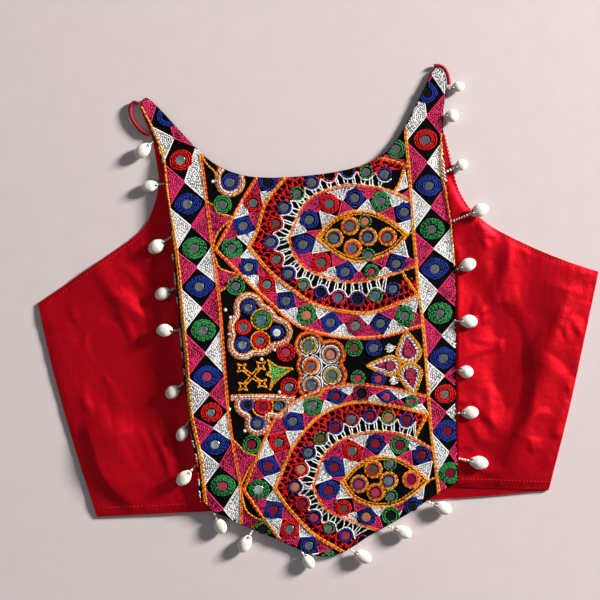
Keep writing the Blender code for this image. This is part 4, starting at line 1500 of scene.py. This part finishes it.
# %% Red cotton
red_cotton, shader = new_material("red_polished_cotton", Metallic=0.7, Roughness=0.42, Specular_IOR_Level=0.2)
place = own_place(red_cotton)
cloud = add_node(red_cotton, "ShaderNodeTexNoise", {"Vector": place, "Scale": 22.0, "Detail": 4.0})
colour_by(red_cotton, shader, cloud.outputs["Fac"], [(0.35, "#C20418"), (0.65, "#D0061C")])
# A shirting of 0.3 mm threads. The weave is drawn at 0.9 mm, as fine as the eye can follow here.
weave = woven(red_cotton, "ADD", Scale=350.0, Distortion=2.0, Detail=2.0)
fine = bump_by(red_cotton, shader, weave, 0.25, 0.0002)
# Over the weave the cloth is crumpled by wear, in patches of about 20 mm.
crush = add_node(red_cotton, "ShaderNodeTexNoise",
                 {"Vector": place, "Scale": 45.0, "Detail": 4.0, "Roughness": 0.55})
worn = bump_by(red_cotton, shader, crush.outputs["Fac"], 0.42, 0.002)
link(red_cotton, fine.outputs["Normal"], worn.inputs["Normal"])
print(red_cotton.name, "has", len(red_cotton.node_tree.nodes), "nodes")

# %% Creases of the red cloth
# A crease that names two widths leans: the wider side falls away gently, and the narrower one is steep. The
# first width is on the left of its line. The big ones run from the top down, so their left is on the right as
# seen from above.
SIDE_CREASES = {
    "side_front_left": [
        # The long lean of the cloth from the panel's edge, and the big fold, taken lower and then creased.
        Crease(curve((112, 110), (109, 20), (107, -60), (107, -175)), 3.2, 32, 40),
        Crease(curve((192, 20), (184, -8), (175, -30), (165, -60), (155, -92)), -3.0, 28, 20),
        Crease(curve((133, 68), (137, 40), (143, 10), (152, -20), (157, -50), (150, -90), (140, -120)),
               -2.8, 12, 36),
        Crease(curve((195, 22), (194, 8), (187, -10), (176, -28), (172, -45), (169, -60), (167, -74),
                     (162, -86), (154, -98), (149, -112), (138, -146)), 2.1, 34, 11),
        Crease(curve((153, 66), (150, 50), (146, 34), (142, 22), (139, 8)), 2.2, 17, 9),
        Crease(curve((133, -54), (134, -70), (136, -84), (146, -96)), 1.2, 15, 6),
        # Small creases
        Crease(curve((112, -12), (121.7, -4.5), (128, 2.9), (140.4, 8), (150, 12)), 0.9, 8, 2.6),
        Crease(curve((104, -38), (112, -34.4), (125.1, -29), (142, -25)), 0.8, 8, 2.4),
        Crease(curve((139, -18), (143, -27), (144, -37)), 0.7, 6, 2.2),
        Crease(curve((118, -64), (125.1, -71.7), (131, -80), (140, -88)), 0.9, 7, 3),
        Crease(curve((106, -65), (110, -67), (120, -70)), 0.6, 5, 2),
        Crease(curve((172, -22), (178.6, -27.6), (190, -36), (205, -50)), -1.2, 14, 9),
        Crease(curve((126.8, 88), (126.4, 76), (127, 65)), 0.8, 5, 2.2),
        Crease(curve((136, 88), (131.5, 76), (127, 64)), 0.7, 5, 2.2),
        Crease(curve((110, 56), (118, 59), (127, 64)), 0.7, 5, 2.6),
        Crease(curve((127, 64), (133, 62), (142, 62)), 0.6, 5, 2.2),
        Crease(curve((127, 64), (130, 57), (133, 51)), 0.7, 5, 2.2),
        Crease(curve((160, -62), (172, -74), (190, -80)), 0.6, 12, 6),
        Crease(curve((112, -100), (126, -96), (146, -104)), 0.6, 12, 7),
    ],
    "side_front_right": [
        # The big folds, taken lower and moved west, so that most of the cloth falls away from the panel.
        Crease(curve((-146, 26), (-138, 8), (-130, -16), (-122, -44)), -4.6, 17, 17),
        Crease(curve((-192, -4), (-181, -30), (-168, -58), (-159, -92)), -4.4, 20, 18),
        Crease(curve((-152, -94), (-142, -114), (-130, -128), (-114, -136)), -2.6, 20, 20),
        Crease(curve((-128, 44), (-122, 0), (-116, -40), (-110, -80), (-102, -130)), -1.6, 16, 16),
        Crease(curve((-160, 14), (-162, -16), (-154, -48), (-140, -86)), -2.2, 40, 20),
        Crease(curve((-174, 38), (-163, 21), (-153, 10), (-140, 1), (-126, -7)), 1.3, 9, 7),
        Crease(curve((-181, -84), (-175, -104), (-169, -122), (-159, -136), (-142, -150)), 4.4, 40, 8),
        # Small creases
        Crease(curve((-156, 6), (-150, -6), (-144.5, -19), (-143, -30)), 1.1, 5, 9),
        Crease(curve((-186, -16), (-181.3, -27.7), (-172.6, -42.9), (-161.8, -53.7), (-150, -62)),
               1.3, 6, 12),
        Crease(curve((-168, -28), (-164, -42), (-166, -58)), 0.5, 3, 6),
        Crease(curve((-150, 60), (-144, 48), (-136, 43), (-124, 42)), 0.8, 5, 3),
        Crease(curve((-142, 66), (-137, 54), (-130, 34)), 0.8, 3, 7),
        Crease(curve((-160, 40), (-148, 34), (-136, 22), (-124, 22)), 0.8, 6, 4),
        Crease(curve((-132, -84), (-127.1, -94.9), (-120, -108), (-116.3, -118), (-113, -130)), 1.1, 5, 3),
        Crease(curve((-140, -88), (-134, -102), (-128, -118)), 0.7, 5, 3),
        Crease(curve((-121, -86), (-115, -100), (-112, -118)), 0.8, 5, 3),
    ],
    "back_left": [Crease(curve((110, -146), (150, -143), (195, -146), step=3), 0.4, 8)],
    "back_right": [Crease(curve((-140, -150), (-100, -153), (-70, -150), step=3), 0.4, 8)],
}
print({node: len(creases) for node, creases in SIDE_CREASES.items()}, "creases by hand")

# %% Faint creases at random
FaintCreases = namedtuple("FaintCreases", "count tallest")
FAINT_CREASES = {"side_front_left": FaintCreases(44, 1.05), "side_front_right": FaintCreases(36, 0.7)}
for node, faint in FAINT_CREASES.items():
    low, high = (np.array(corner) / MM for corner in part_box(node))
    for _ in range(faint.count):
        start = scatter.uniform(low[:2], high[:2])
        turn = scatter.uniform(-2.6, 0.4)
        way = scatter.uniform(12, 34) * direction(turn)
        bow = scatter.uniform(-0.14, 0.14) * left_of(way)
        line = curve(start, start + way / 2 + bow, start + way)
        height = scatter.uniform(0.35, faint.tallest)
        width = scatter.uniform(4, 10)
        right = scatter.uniform(1.8, 4)
        SIDE_CREASES[node].append(Crease(line, height, width, right))
print({node: len(creases) for node, creases in SIDE_CREASES.items()}, "creases in all")

# %% A patch cut from a solid's outline
WALL = 1.0  # mm of cloth


def cut_patch(node, name, step):
    """A closed patch with a cloth solid's outline, cut into squares, with its upper points a wall higher."""
    piece = copy_of_node(node, name)
    bpy.ops.object.mode_set(mode="EDIT")
    shape = bmesh.from_edit_mesh(piece.data)
    bmesh.ops.delete(shape, geom=[f for f in shape.faces if f.normal.z < 0.05], context="FACES")
    for corner in shape.verts:
        corner.co.z = 0
    bmesh.ops.remove_doubles(shape, verts=shape.verts[:], dist=0.05 * MM)
    bmesh.ops.dissolve_limit(shape, angle_limit=0.01, verts=shape.verts[:], edges=shape.edges[:])
    low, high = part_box(node)
    for axis, across in ((0, Vector((1, 0, 0))), (1, Vector((0, 1, 0)))):
        for place in np.arange(low[axis] + 0.4 * step * MM, high[axis], step * MM):
            everything = shape.verts[:] + shape.edges[:] + shape.faces[:]
            bmesh.ops.bisect_plane(shape, geom=everything, dist=0.01 * MM, plane_co=across * float(place),
                                   plane_no=across)
    bmesh.update_edit_mesh(piece.data)
    bpy.ops.mesh.select_all(action="SELECT")
    bpy.ops.mesh.extrude_region_move(TRANSFORM_OT_translate={"value": (0, 0, WALL * MM)})
    bpy.ops.mesh.select_all(action="SELECT")
    bpy.ops.mesh.normals_make_consistent(inside=False)
    bpy.ops.object.mode_set(mode="OBJECT")
    return piece

# %% A cloth on its solid's form
LAYER_BELOW = {"side_front_left": "back_left", "side_front_right": "back_right"}  # what each one lies on
PANEL_COVER = panel_solid_top.cover(4)
LAYER_GAP = 0.9  # mm at least from the layer below to a cloth's upper face
SEAM_SETTLE = 1.3  # mm that the side fronts lie lower along their side seams than the solids do
PUCKER = 0.2  # mm


def layer_top(node):
    """The height of a cloth's upper face, and 0 beside it."""
    top = HeightMap(node, solid_tree(node), 4, rounds=2)
    cover = top.cover(2)
    return lambda x, y: top(x, y) * np.clip(2 * cover(x, y), 0, 1)


def finer_cloth(node, name, step):
    """A cloth on its solid's form, with creases laid in, clear of the layer below."""
    tree = solid_tree(node)
    is_side = node in LAYER_BELOW
    top = HeightMap(node, tree, GRID_STEP, rounds=14 if is_side else 3)
    floor = layer_top(LAYER_BELOW[node]) if is_side else HeightMap(node, tree, GRID_STEP, 1, below=True)
    cover = top.cover(5)
    piece = cut_patch(node, name, step)
    mesh = piece.data
    co = np.array([v.co[:] for v in mesh.vertices]) / MM
    x, y = co[:, 0], co[:, 1]
    is_upper = co[:, 2] > WALL / 2
    inward = cover(x, y)  # about a half at the cloth's edge, and 1 a few mm in
    lift = sum(ridge(x, y, crease) for crease in SIDE_CREASES[node]) + PUCKER * ripple(x, y, 24, 11)
    # Creases die out at the edges, and where the panel lies over the cloth.
    lift = lift * np.clip(2.2 * inward - 1.1, 0.12, 1) * np.clip(2.0 - 2.6 * PANEL_COVER(x, y), 0, 1)
    # The hems and the bound armhole pucker along their stitching.
    lift = lift + PUCKER * ripple(x, y, 6.5, 3) * np.exp(-((inward - 0.86) / 0.1) ** 2)
    # The CAD wall stands a little off the floor along the side seams. The cloth lies down there.
    settle = SEAM_SETTLE * np.clip(1.8 * (1 - inward), 0, 1) * is_side
    new_top = np.maximum(top(x, y) + lift - settle, floor(x, y) + LAYER_GAP)
    co[:, 2] = np.where(is_upper, new_top, np.maximum(new_top - WALL, floor(x, y)))
    mesh.vertices.foreach_set("co", (co * MM).ravel())
    mesh.update()
    pick(piece)
    bpy.ops.object.shade_smooth_by_angle(angle=math.radians(45))
    return piece

# %% The four red cloths
SIDE_SQUARE, BACK_SQUARE = 1.6, 3.5  # mm
cloths = {}
for node, flat, area, below in (("side_front_left", (0.134, 0.311), 0.0228, ["back_left"]),
                                ("side_front_right", (0.147, 0.319), 0.0248, ["back_right"]),
                                ("back_left", (0.226, 0.183), 0.0282, []),
                                ("back_right", (0.232, 0.166), 0.0285, ["back_left"])):
    piece = finer_cloth(node, node + "_cloth", SIDE_SQUARE if node in LAYER_BELOW else BACK_SQUARE)
    finish_piece(piece, red_cotton, "red_cotton", node)
    cloths[node] = piece
print({node: len(cloth.data.polygons) for node, cloth in cloths.items()}, "faces")

# %% [markdown]
# ## Stitched hems and edges
# The hem is turned up and sewn 6 mm from its edge. The armhole is bound and sewn close to its edge. A
# lockstitch sinks into the cloth, so each stitch is drawn as a short red sliver that stands a hair above it.

# %% Lines of machine stitching
SEAM_PITCH, SEAM_SLANT = 3.0, 0.12  # mm, radians
SEAM_STITCH = (2.3, 0.75, -0.12)  # length, width and lift in mm
SEAM_LINES = {
    "side_front_left": [
        curve((98, -127.5), (140, -129), (178, -130.5)),
        curve((99.5, 140), (103, 126), (108, 104), (112, 94), (119, 83), (130, 73), (143.5, 63), (170, 50),
              (196, 39), (216, 31)),
    ],
    "side_front_right": [
        curve((-168, -151), (-120, -148.5), (-78, -146.5)),
        curve((-125, 128), (-122.5, 113), (-122, 99), (-127, 80), (-136, 64), (-153, 51), (-177, 34.5),
              (-214, 7)),
    ],
}


def stitched_lines(node, name):
    """A cloth's lines of machine stitching, as one piece on the creased cloth."""
    cloth = BVHTree.FromObject(cloths[node], bpy.context.evaluated_depsgraph_get())
    height = HeightMap(node, cloth, 1.5, rounds=2)
    rows = []
    for line in SEAM_LINES[node]:
        spots = even(line, SEAM_PITCH)
        row = np.zeros((len(spots), 7))
        row[:, :2], row[:, 2] = spots, heading(spots) + SEAM_SLANT
        row[:, 3], row[:, 4], row[:, 5] = SEAM_STITCH
        rows.append(row)
    points, tones = lay_stitches(np.concatenate(rows), height)
    piece = mesh_of_copies(name, points, STITCH_FACES, tones)
    finish_piece(piece, floss("seam_red"), "red_cotton")


stitched_lines("side_front_left", "seams_left")
stitched_lines("side_front_right", "seams_right")

# %% [markdown]
# ## Tie loops
# Each strap ends in a loop for a tie, a bias strip sewn into a tube and turned right side out. A curve with a
# round bevel gives the tube; it follows the solid's own line, and its two ends go in under the strap's tip.

# %% The loops' lines
LOOPS = {
    "tie_loop_right": [(-140.6, 165.2), (-142.8, 166.9), (-145.6, 166.0), (-147.4, 161.5), (-146.8, 156.0),
                       (-144.2, 150.6), (-140.4, 146.0), (-136.6, 142.6), (-134.0, 141.4), (-131.7, 141.6)],
    "tie_loop_left": [(90.8, 194.8), (94.2, 195.5), (98.4, 193.8), (101.0, 189.8), (102.2, 185.4),
                      (102.6, 180.2)],
}
LOOP_HEIGHT = 1.8  # mm from the floor to the tube's middle
LOOP_RADIUS = 3.0 / 2 * 0.96  # mm, a little thinner than the solid's
print({node: len(line) for node, line in LOOPS.items()}, "points")

# %% A tube from a curve
def tube(name, points, radius):
    """A round tube through points in mm, by a curve with a bevel, made a mesh."""
    data = bpy.data.curves.new(name, "CURVE")
    data.dimensions, data.bevel_depth, data.bevel_resolution = "3D", radius * MM, 4
    data.use_fill_caps = True
    spline = data.splines.new("NURBS")
    spline.points.add(len(points) - 1)
    for spot, place in zip(spline.points, points):
        spot.co = (*(np.array(place) * MM), 1)
    spline.use_endpoint_u, spline.order_u, spline.resolution_u = True, 4, 5
    piece = bpy.data.objects.new(name, data)
    SCENE.objects.link(piece)
    pick(piece)
    bpy.ops.object.convert(target="MESH")
    piece = bpy.context.object
    bpy.ops.object.shade_smooth()
    return piece

# %% Turned tubes
turned_tube, shader = new_material("turned_bias_tube_of_red_cotton", Roughness=0.6, Specular_IOR_Level=0.2)
# The weave lies on the bias, so its threads cross the tube aslant.
bias = add_node(turned_tube, "ShaderNodeTexWave",
                {"Vector": own_place(turned_tube), "Scale": 330.0, "Distortion": 3.0},
                bands_direction="DIAGONAL")
colour_by(turned_tube, shader, bias.outputs["Fac"], [(0.0, "#7A0516"), (1.0, "#9E0A1E")])
bump_by(turned_tube, shader, bias.outputs["Fac"], 0.4, 0.0003)
for node, line in LOOPS.items():
    piece = tube(node + "_tube", [(x, y, LOOP_HEIGHT) for x, y in line], LOOP_RADIUS)
    finish_piece(piece, turned_tube, "turned_tube", node)
    print(piece.name, "has", len(piece.data.polygons), "faces")

# %% [markdown]
# ## Cowries
# A money cowrie is an egg-shaped shell as glossy as porcelain, with a toothed slit down its flat side, which
# lies underneath here. A hole is drilled through its narrow end, and a thread with a few glass beads ties it
# to the panel's edge. One shell is modelled from a sphere; each drop has its own copy of it, in its own size.

# %% One shell, from 0 to 1 along X, 1 wide and high
deselect()
bpy.ops.mesh.primitive_uv_sphere_add(segments=20, ring_count=14, radius=0.5, rotation=(0, math.pi / 2, 0))
shell = bpy.context.object
bpy.ops.object.transform_apply(location=True, rotation=True, scale=True)
bpy.ops.object.mode_set(mode="EDIT")
bpy.ops.mesh.select_mode(type="VERT")


def choose(piece, test, kind="verts"):
    """Selects the points or faces of an edit mesh that pass a test on their place."""
    mesh = bmesh.from_edit_mesh(piece.data)
    for item in list(mesh.verts) + list(mesh.edges) + list(mesh.faces):
        item.select = False
    for item in getattr(mesh, kind):
        if test(item.co if kind == "verts" else item.calc_center_median()):
            item.select = True
    mesh.select_flush(True)
    bmesh.update_edit_mesh(piece.data)


choose(shell, lambda co: co.x < -0.30)  # the narrow end
bpy.ops.transform.resize(value=(1, 0.86, 0.86), use_proportional_edit=True,
                         proportional_edit_falloff="SMOOTH", proportional_size=0.30,
                         center_override=(0, 0, 0))
bpy.ops.mesh.select_mode(type="FACE")
choose(shell, lambda co: co.z < -0.3 and abs(co.y) < 0.09 and abs(co.x) < 0.36, "faces")  # the slit
bpy.ops.mesh.inset(thickness=0.028)
bpy.ops.transform.translate(value=(0, 0, 0.09))
bpy.ops.mesh.inset(thickness=0.012, use_individual=True)
bpy.ops.transform.translate(value=(0, 0, -0.03))
HOLE_PLACE = Vector((-0.36, 0, 0.33))
shell_mesh = bmesh.from_edit_mesh(shell.data)
upper_places = [f.calc_center_median().copy() for f in shell_mesh.faces if f.normal.z > 0.2]
drilled = min(upper_places, key=lambda co: (co - HOLE_PLACE).length)
choose(shell, lambda co: (co - drilled).length < 0.02, "faces")
bpy.ops.mesh.inset(thickness=0.008)
bpy.ops.mesh.extrude_region_move(TRANSFORM_OT_translate={"value": (0.03, 0, -0.16)})
bpy.ops.object.mode_set(mode="OBJECT")
smooth = shell.modifiers.new("smooth", "SUBSURF")
smooth.levels = smooth.render_levels = 1
apply_modifiers(shell)
SHELL_POINTS = np.array([v.co[:] for v in shell.data.vertices]) + (0.5, 0, 0)
SHELL_FACES = [tuple(p.vertices) for p in shell.data.polygons]
in_hole = [(Vector(p.center) - drilled).length < 0.16 and p.center.z < drilled.z - 0.015
           for p in shell.data.polygons]
bpy.data.objects.remove(shell)
print("shell:", len(SHELL_FACES), "faces, of which its hole has", sum(in_hole))

# %% One bead, flattened at its two ends
deselect()
bpy.ops.mesh.primitive_uv_sphere_add(segments=10, ring_count=7, radius=1.0)
bead = bpy.context.object
bpy.ops.object.mode_set(mode="EDIT")
choose(bead, lambda co: abs(co.z) > 0.95)
bpy.ops.transform.resize(value=(1, 1, 0.72))
bpy.ops.object.mode_set(mode="OBJECT")
BEAD_POINTS = np.array([v.co[:] for v in bead.data.vertices])
BEAD_FACES = [tuple(p.vertices) for p in bead.data.polygons]
bpy.data.objects.remove(bead)
print("bead:", len(BEAD_FACES), "faces")

# %% Shell, bead and thread finishes
cowrie_porcelain, shader = new_material("cowrie_shell", Roughness=0.28, Coat_Weight=0.25, Coat_Roughness=0.15)
bloom = add_node(cowrie_porcelain, "ShaderNodeTexNoise",
                 {"Vector": own_place(cowrie_porcelain), "Scale": 180.0, "Detail": 3.0})
colour_by(cowrie_porcelain, shader, bloom.outputs["Fac"], [(0.35, "#D8D0C2"), (0.62, "#F4EFE6")])
bump_by(cowrie_porcelain, shader, bloom.outputs["Fac"], 0.15, 0.0004)

drilled_hole, shader = new_material("shadowed_drill_hole", Roughness=0.9)
grit = add_node(drilled_hole, "ShaderNodeTexNoise", {"Vector": own_place(drilled_hole), "Scale": 900.0})
colour_by(drilled_hole, shader, grit.outputs["Fac"], [(0.3, "#2A241E"), (0.7, "#4A4036")])

milk_glass, shader = new_material("milk_glass_seed_bead", Roughness=0.15)
swirl = add_node(milk_glass, "ShaderNodeTexNoise", {"Vector": own_place(milk_glass), "Scale": 700.0})
colour_by(milk_glass, shader, swirl.outputs["Fac"], [(0.3, "#D6CFC0"), (0.7, "#F2EEE4")])

waxed_thread, shader = new_material("waxed_cotton_thread", Roughness=0.6)
twist = add_node(waxed_thread, "ShaderNodeTexWave", {"Vector": own_place(waxed_thread), "Scale": 900.0},
                 bands_direction="DIAGONAL")
colour_by(waxed_thread, shader, twist.outputs["Fac"], [(0.0, "#B8B0A2"), (1.0, "#E4DED2")])

DROP_MATERIALS = [cowrie_porcelain, drilled_hole, milk_glass, waxed_thread]
SHELL, HOLE, BEAD, THREAD = range(4)
print([material.name for material in DROP_MATERIALS])

# %% The drops, round the panel from one strap to the other
Drop = namedtuple("Drop", "edge_x edge_y shell_x shell_y length width")
DROPS = [
    Drop(-129.4, 135.0, -136.6, 128.4, 15.2, 10.6), Drop(-118.9, 103.0, -131.2, 100.6, 13.4, 9.6),
    Drop(-113.6, 61.6, -125.7, 53.6, 14.8, 11.0), Drop(-109.4, 21.8, -120.9, 16.8, 13.2, 10.2),
    Drop(-107.2, -11.7, -119.0, -11.9, 13.4, 10.4), Drop(-103.7, -52.3, -113.1, -59.8, 12.8, 10.4),
    Drop(-100.8, -82.4, -105.6, -92.2, 13.2, 9.4), Drop(-94.3, -116.2, -104.1, -126.4, 14.4, 10.4),
    Drop(-81.5, -153.4, -76.4, -164.4, 14.0, 10.0), Drop(-50.7, -167.1, -56.9, -178.6, 15.2, 10.4),
    Drop(-13.2, -184.5, -7.6, -192.4, 12.8, 9.4), Drop(24.6, -182.9, 34.9, -188.6, 15.0, 10.4),
    Drop(53.8, -164.7, 66.2, -169.4, 15.2, 10.2), Drop(84.6, -145.2, 97.3, -150.6, 15.0, 10.6),
    Drop(108.4, -111.8, 125.2, -115.0, 15.2, 10.8), Drop(107.6, -76.7, 118.4, -76.1, 13.6, 10.4),
    Drop(107.6, -42.6, 115.2, -44.2, 11.8, 10.2), Drop(107.6, -4.7, 117.2, -5.0, 14.0, 10.8),
    Drop(107.0, 35.1, 116.6, 39.0, 14.0, 10.6), Drop(104.6, 72.9, 125.8, 81.6, 14.6, 10.8),
    Drop(99.3, 111.5, 111.8, 117.0, 10.8, 8.8), Drop(97.8, 155.6, 104.4, 155.4, 11.0, 10.4),
    Drop(100.5, 176.4, 109.2, 178.2, 10.6, 8.4),
]
shell_lengths = [drop.length for drop in DROPS]
print(len(DROPS), "drops, with shells", min(shell_lengths), "to", max(shell_lengths), "mm long")

# %% Sizes of beads and thread
SHELL_HEIGHT_SHARE = 0.62  # of its width
BEAD_RADIUS, THREAD_RADIUS = 1.1, 0.4
THREAD_BARE = 0.9  # mm from the panel's edge to the first bead
THREAD_SIDES = 6
print("beads of", 2 * BEAD_RADIUS, "mm on a thread of", 2 * THREAD_RADIUS, "mm")

# %% One drop
class DressedDrop:
    """One drop as it is put together, along the line from the panel's edge to its shell's middle."""

    def __init__(self, node, drop):
        self.drop = drop
        self.solid = np.array([v.co[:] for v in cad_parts[node].data.vertices]) / MM
        self.edge, centre = np.array([drop.edge_x, drop.edge_y]), np.array([drop.shell_x, drop.shell_y])
        reach = np.linalg.norm(centre - self.edge)
        self.along = (centre - self.edge) / reach
        self.across = left_of(self.along)
        self.stem = reach - drop.length / 2  # of thread, from the edge to the shell
        self.run = (self.solid[:, :2] - self.edge) @ self.along
        whole = self.solid[self.run > self.stem + 0.3 * drop.length]
        self.shell_z = (whole[:, 2].min() + whole[:, 2].max()) / 2
        self.half_height = drop.width * SHELL_HEIGHT_SHARE
        self.points, self.faces, self.finishes = [], [], []

    def solid_height(self, place, half=1.0):
        """The middle height of the CAD drop at a place along it."""
        near = self.solid[np.abs(self.run - place) < half]
        near = near if len(near) else self.solid[[np.abs(self.run - place).argmin()]]
        return (near[:, 2].min() + near[:, 2].max()) / 2

    def placed(self, u, v, z):
        """Points u along the drop, v across it and z up, in the part's own frame."""
        flat = self.edge + np.outer(u, self.along) + np.outer(v, self.across)
        return np.column_stack([flat, z])

    def add(self, points, faces, finishes):
        """Adds a shape to the drop's one mesh. finishes is one of the four materials for each face."""
        start = len(self.points)
        self.points.extend(points.tolist())
        self.faces.extend(tuple(start + i for i in face) for face in faces)
        self.finishes.extend(finishes)

    def add_shell(self):
        roll = random.uniform(-0.25, 0.25)
        cos, sin = math.cos(roll), math.sin(roll)
        x, y, z = SHELL_POINTS.T
        y, z = y * cos - z * sin, y * sin + z * cos
        points = self.placed(self.stem + x * self.drop.length, y * self.drop.width,
                             self.shell_z + z * self.half_height)
        self.add(points, SHELL_FACES, [HOLE if hole else SHELL for hole in in_hole])

    def add_beads(self):
        room = self.stem - THREAD_BARE
        count = max(1, round(room / (2 * BEAD_RADIUS)))
        pitch = room / count
        for i in range(count):
            place = THREAD_BARE + (i + 0.47) * pitch
            size = min(BEAD_RADIUS, 0.5 * pitch) * random.uniform(0.92, 1.04)
            x, y, z = BEAD_POINTS.T
            points = self.placed(place + z * min(size, pitch * 0.49), x * size,
                                 self.solid_height(place) + y * size)
            self.add(points, BEAD_FACES, [BEAD] * len(BEAD_FACES))

    def thread_line(self):
        """Where the thread runs, as (along, height): through the beads, over the shell and down its hole."""
        stem, length = self.stem, self.drop.length
        hole = stem + 0.17 * length
        top = self.shell_z + self.half_height * 0.36
        return [(-1.2, self.solid_height(0.5)), (0.2, self.solid_height(0.5)),
                *((u, self.solid_height(u)) for u in np.linspace(0.8, max(stem - 0.3, 0.9), 5)),
                (stem + 0.2, self.shell_z + 0.6 * (top - self.shell_z)), (stem + 0.08 * length, top + 0.1),
                (hole, top + 0.2), (hole + 0.3, top - 0.9)]

    def add_thread(self):
        line = self.thread_line()
        turn = np.linspace(0, 2 * np.pi, THREAD_SIDES + 1)[:-1]
        across, up = THREAD_RADIUS * np.cos(turn), THREAD_RADIUS * np.sin(turn)
        rings = [self.placed(np.full(THREAD_SIDES, u), across, z + up) for u, z in line]
        faces = []
        for i in range(len(line) - 1):
            for k in range(THREAD_SIDES):
                a, b = i * THREAD_SIDES + k, i * THREAD_SIDES + (k + 1) % THREAD_SIDES
                faces.append((a, b, b + THREAD_SIDES, a + THREAD_SIDES))
        last = (len(line) - 1) * THREAD_SIDES
        faces += [tuple(range(THREAD_SIDES - 1, -1, -1)), tuple(range(last, last + THREAD_SIDES))]
        self.add(np.concatenate(rings), faces, [THREAD] * len(faces))

    def to_piece(self, name):
        mesh = bpy.data.meshes.new(name)
        mesh.from_pydata([tuple(np.array(p) * MM) for p in self.points], [], self.faces)
        for material in DROP_MATERIALS:
            mesh.materials.append(material)
        for polygon, finish in zip(mesh.polygons, self.finishes):
            polygon.material_index, polygon.use_smooth = finish, True
        piece = bpy.data.objects.new(name, mesh)
        SCENE.objects.link(piece)
        pick(piece)
        bpy.ops.object.mode_set(mode="EDIT")
        bpy.ops.mesh.select_all(action="SELECT")
        bpy.ops.mesh.normals_make_consistent(inside=False)
        bpy.ops.object.mode_set(mode="OBJECT")
        return piece

# %% All the drops
def dress_drop(number, drop):
    """Builds a drop in place of its node, and returns its number of faces."""
    node = f"cowrie_drop_{number:02d}"
    dressed = DressedDrop(node, drop)
    dressed.add_shell()
    dressed.add_beads()
    dressed.add_thread()
    piece = dressed.to_piece(node + "_dressed")
    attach(piece, "root")
    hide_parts(node)
    return len(piece.data.polygons)


print("drops:", sum(dress_drop(i + 1, drop) for i, drop in enumerate(DROPS)), "faces")
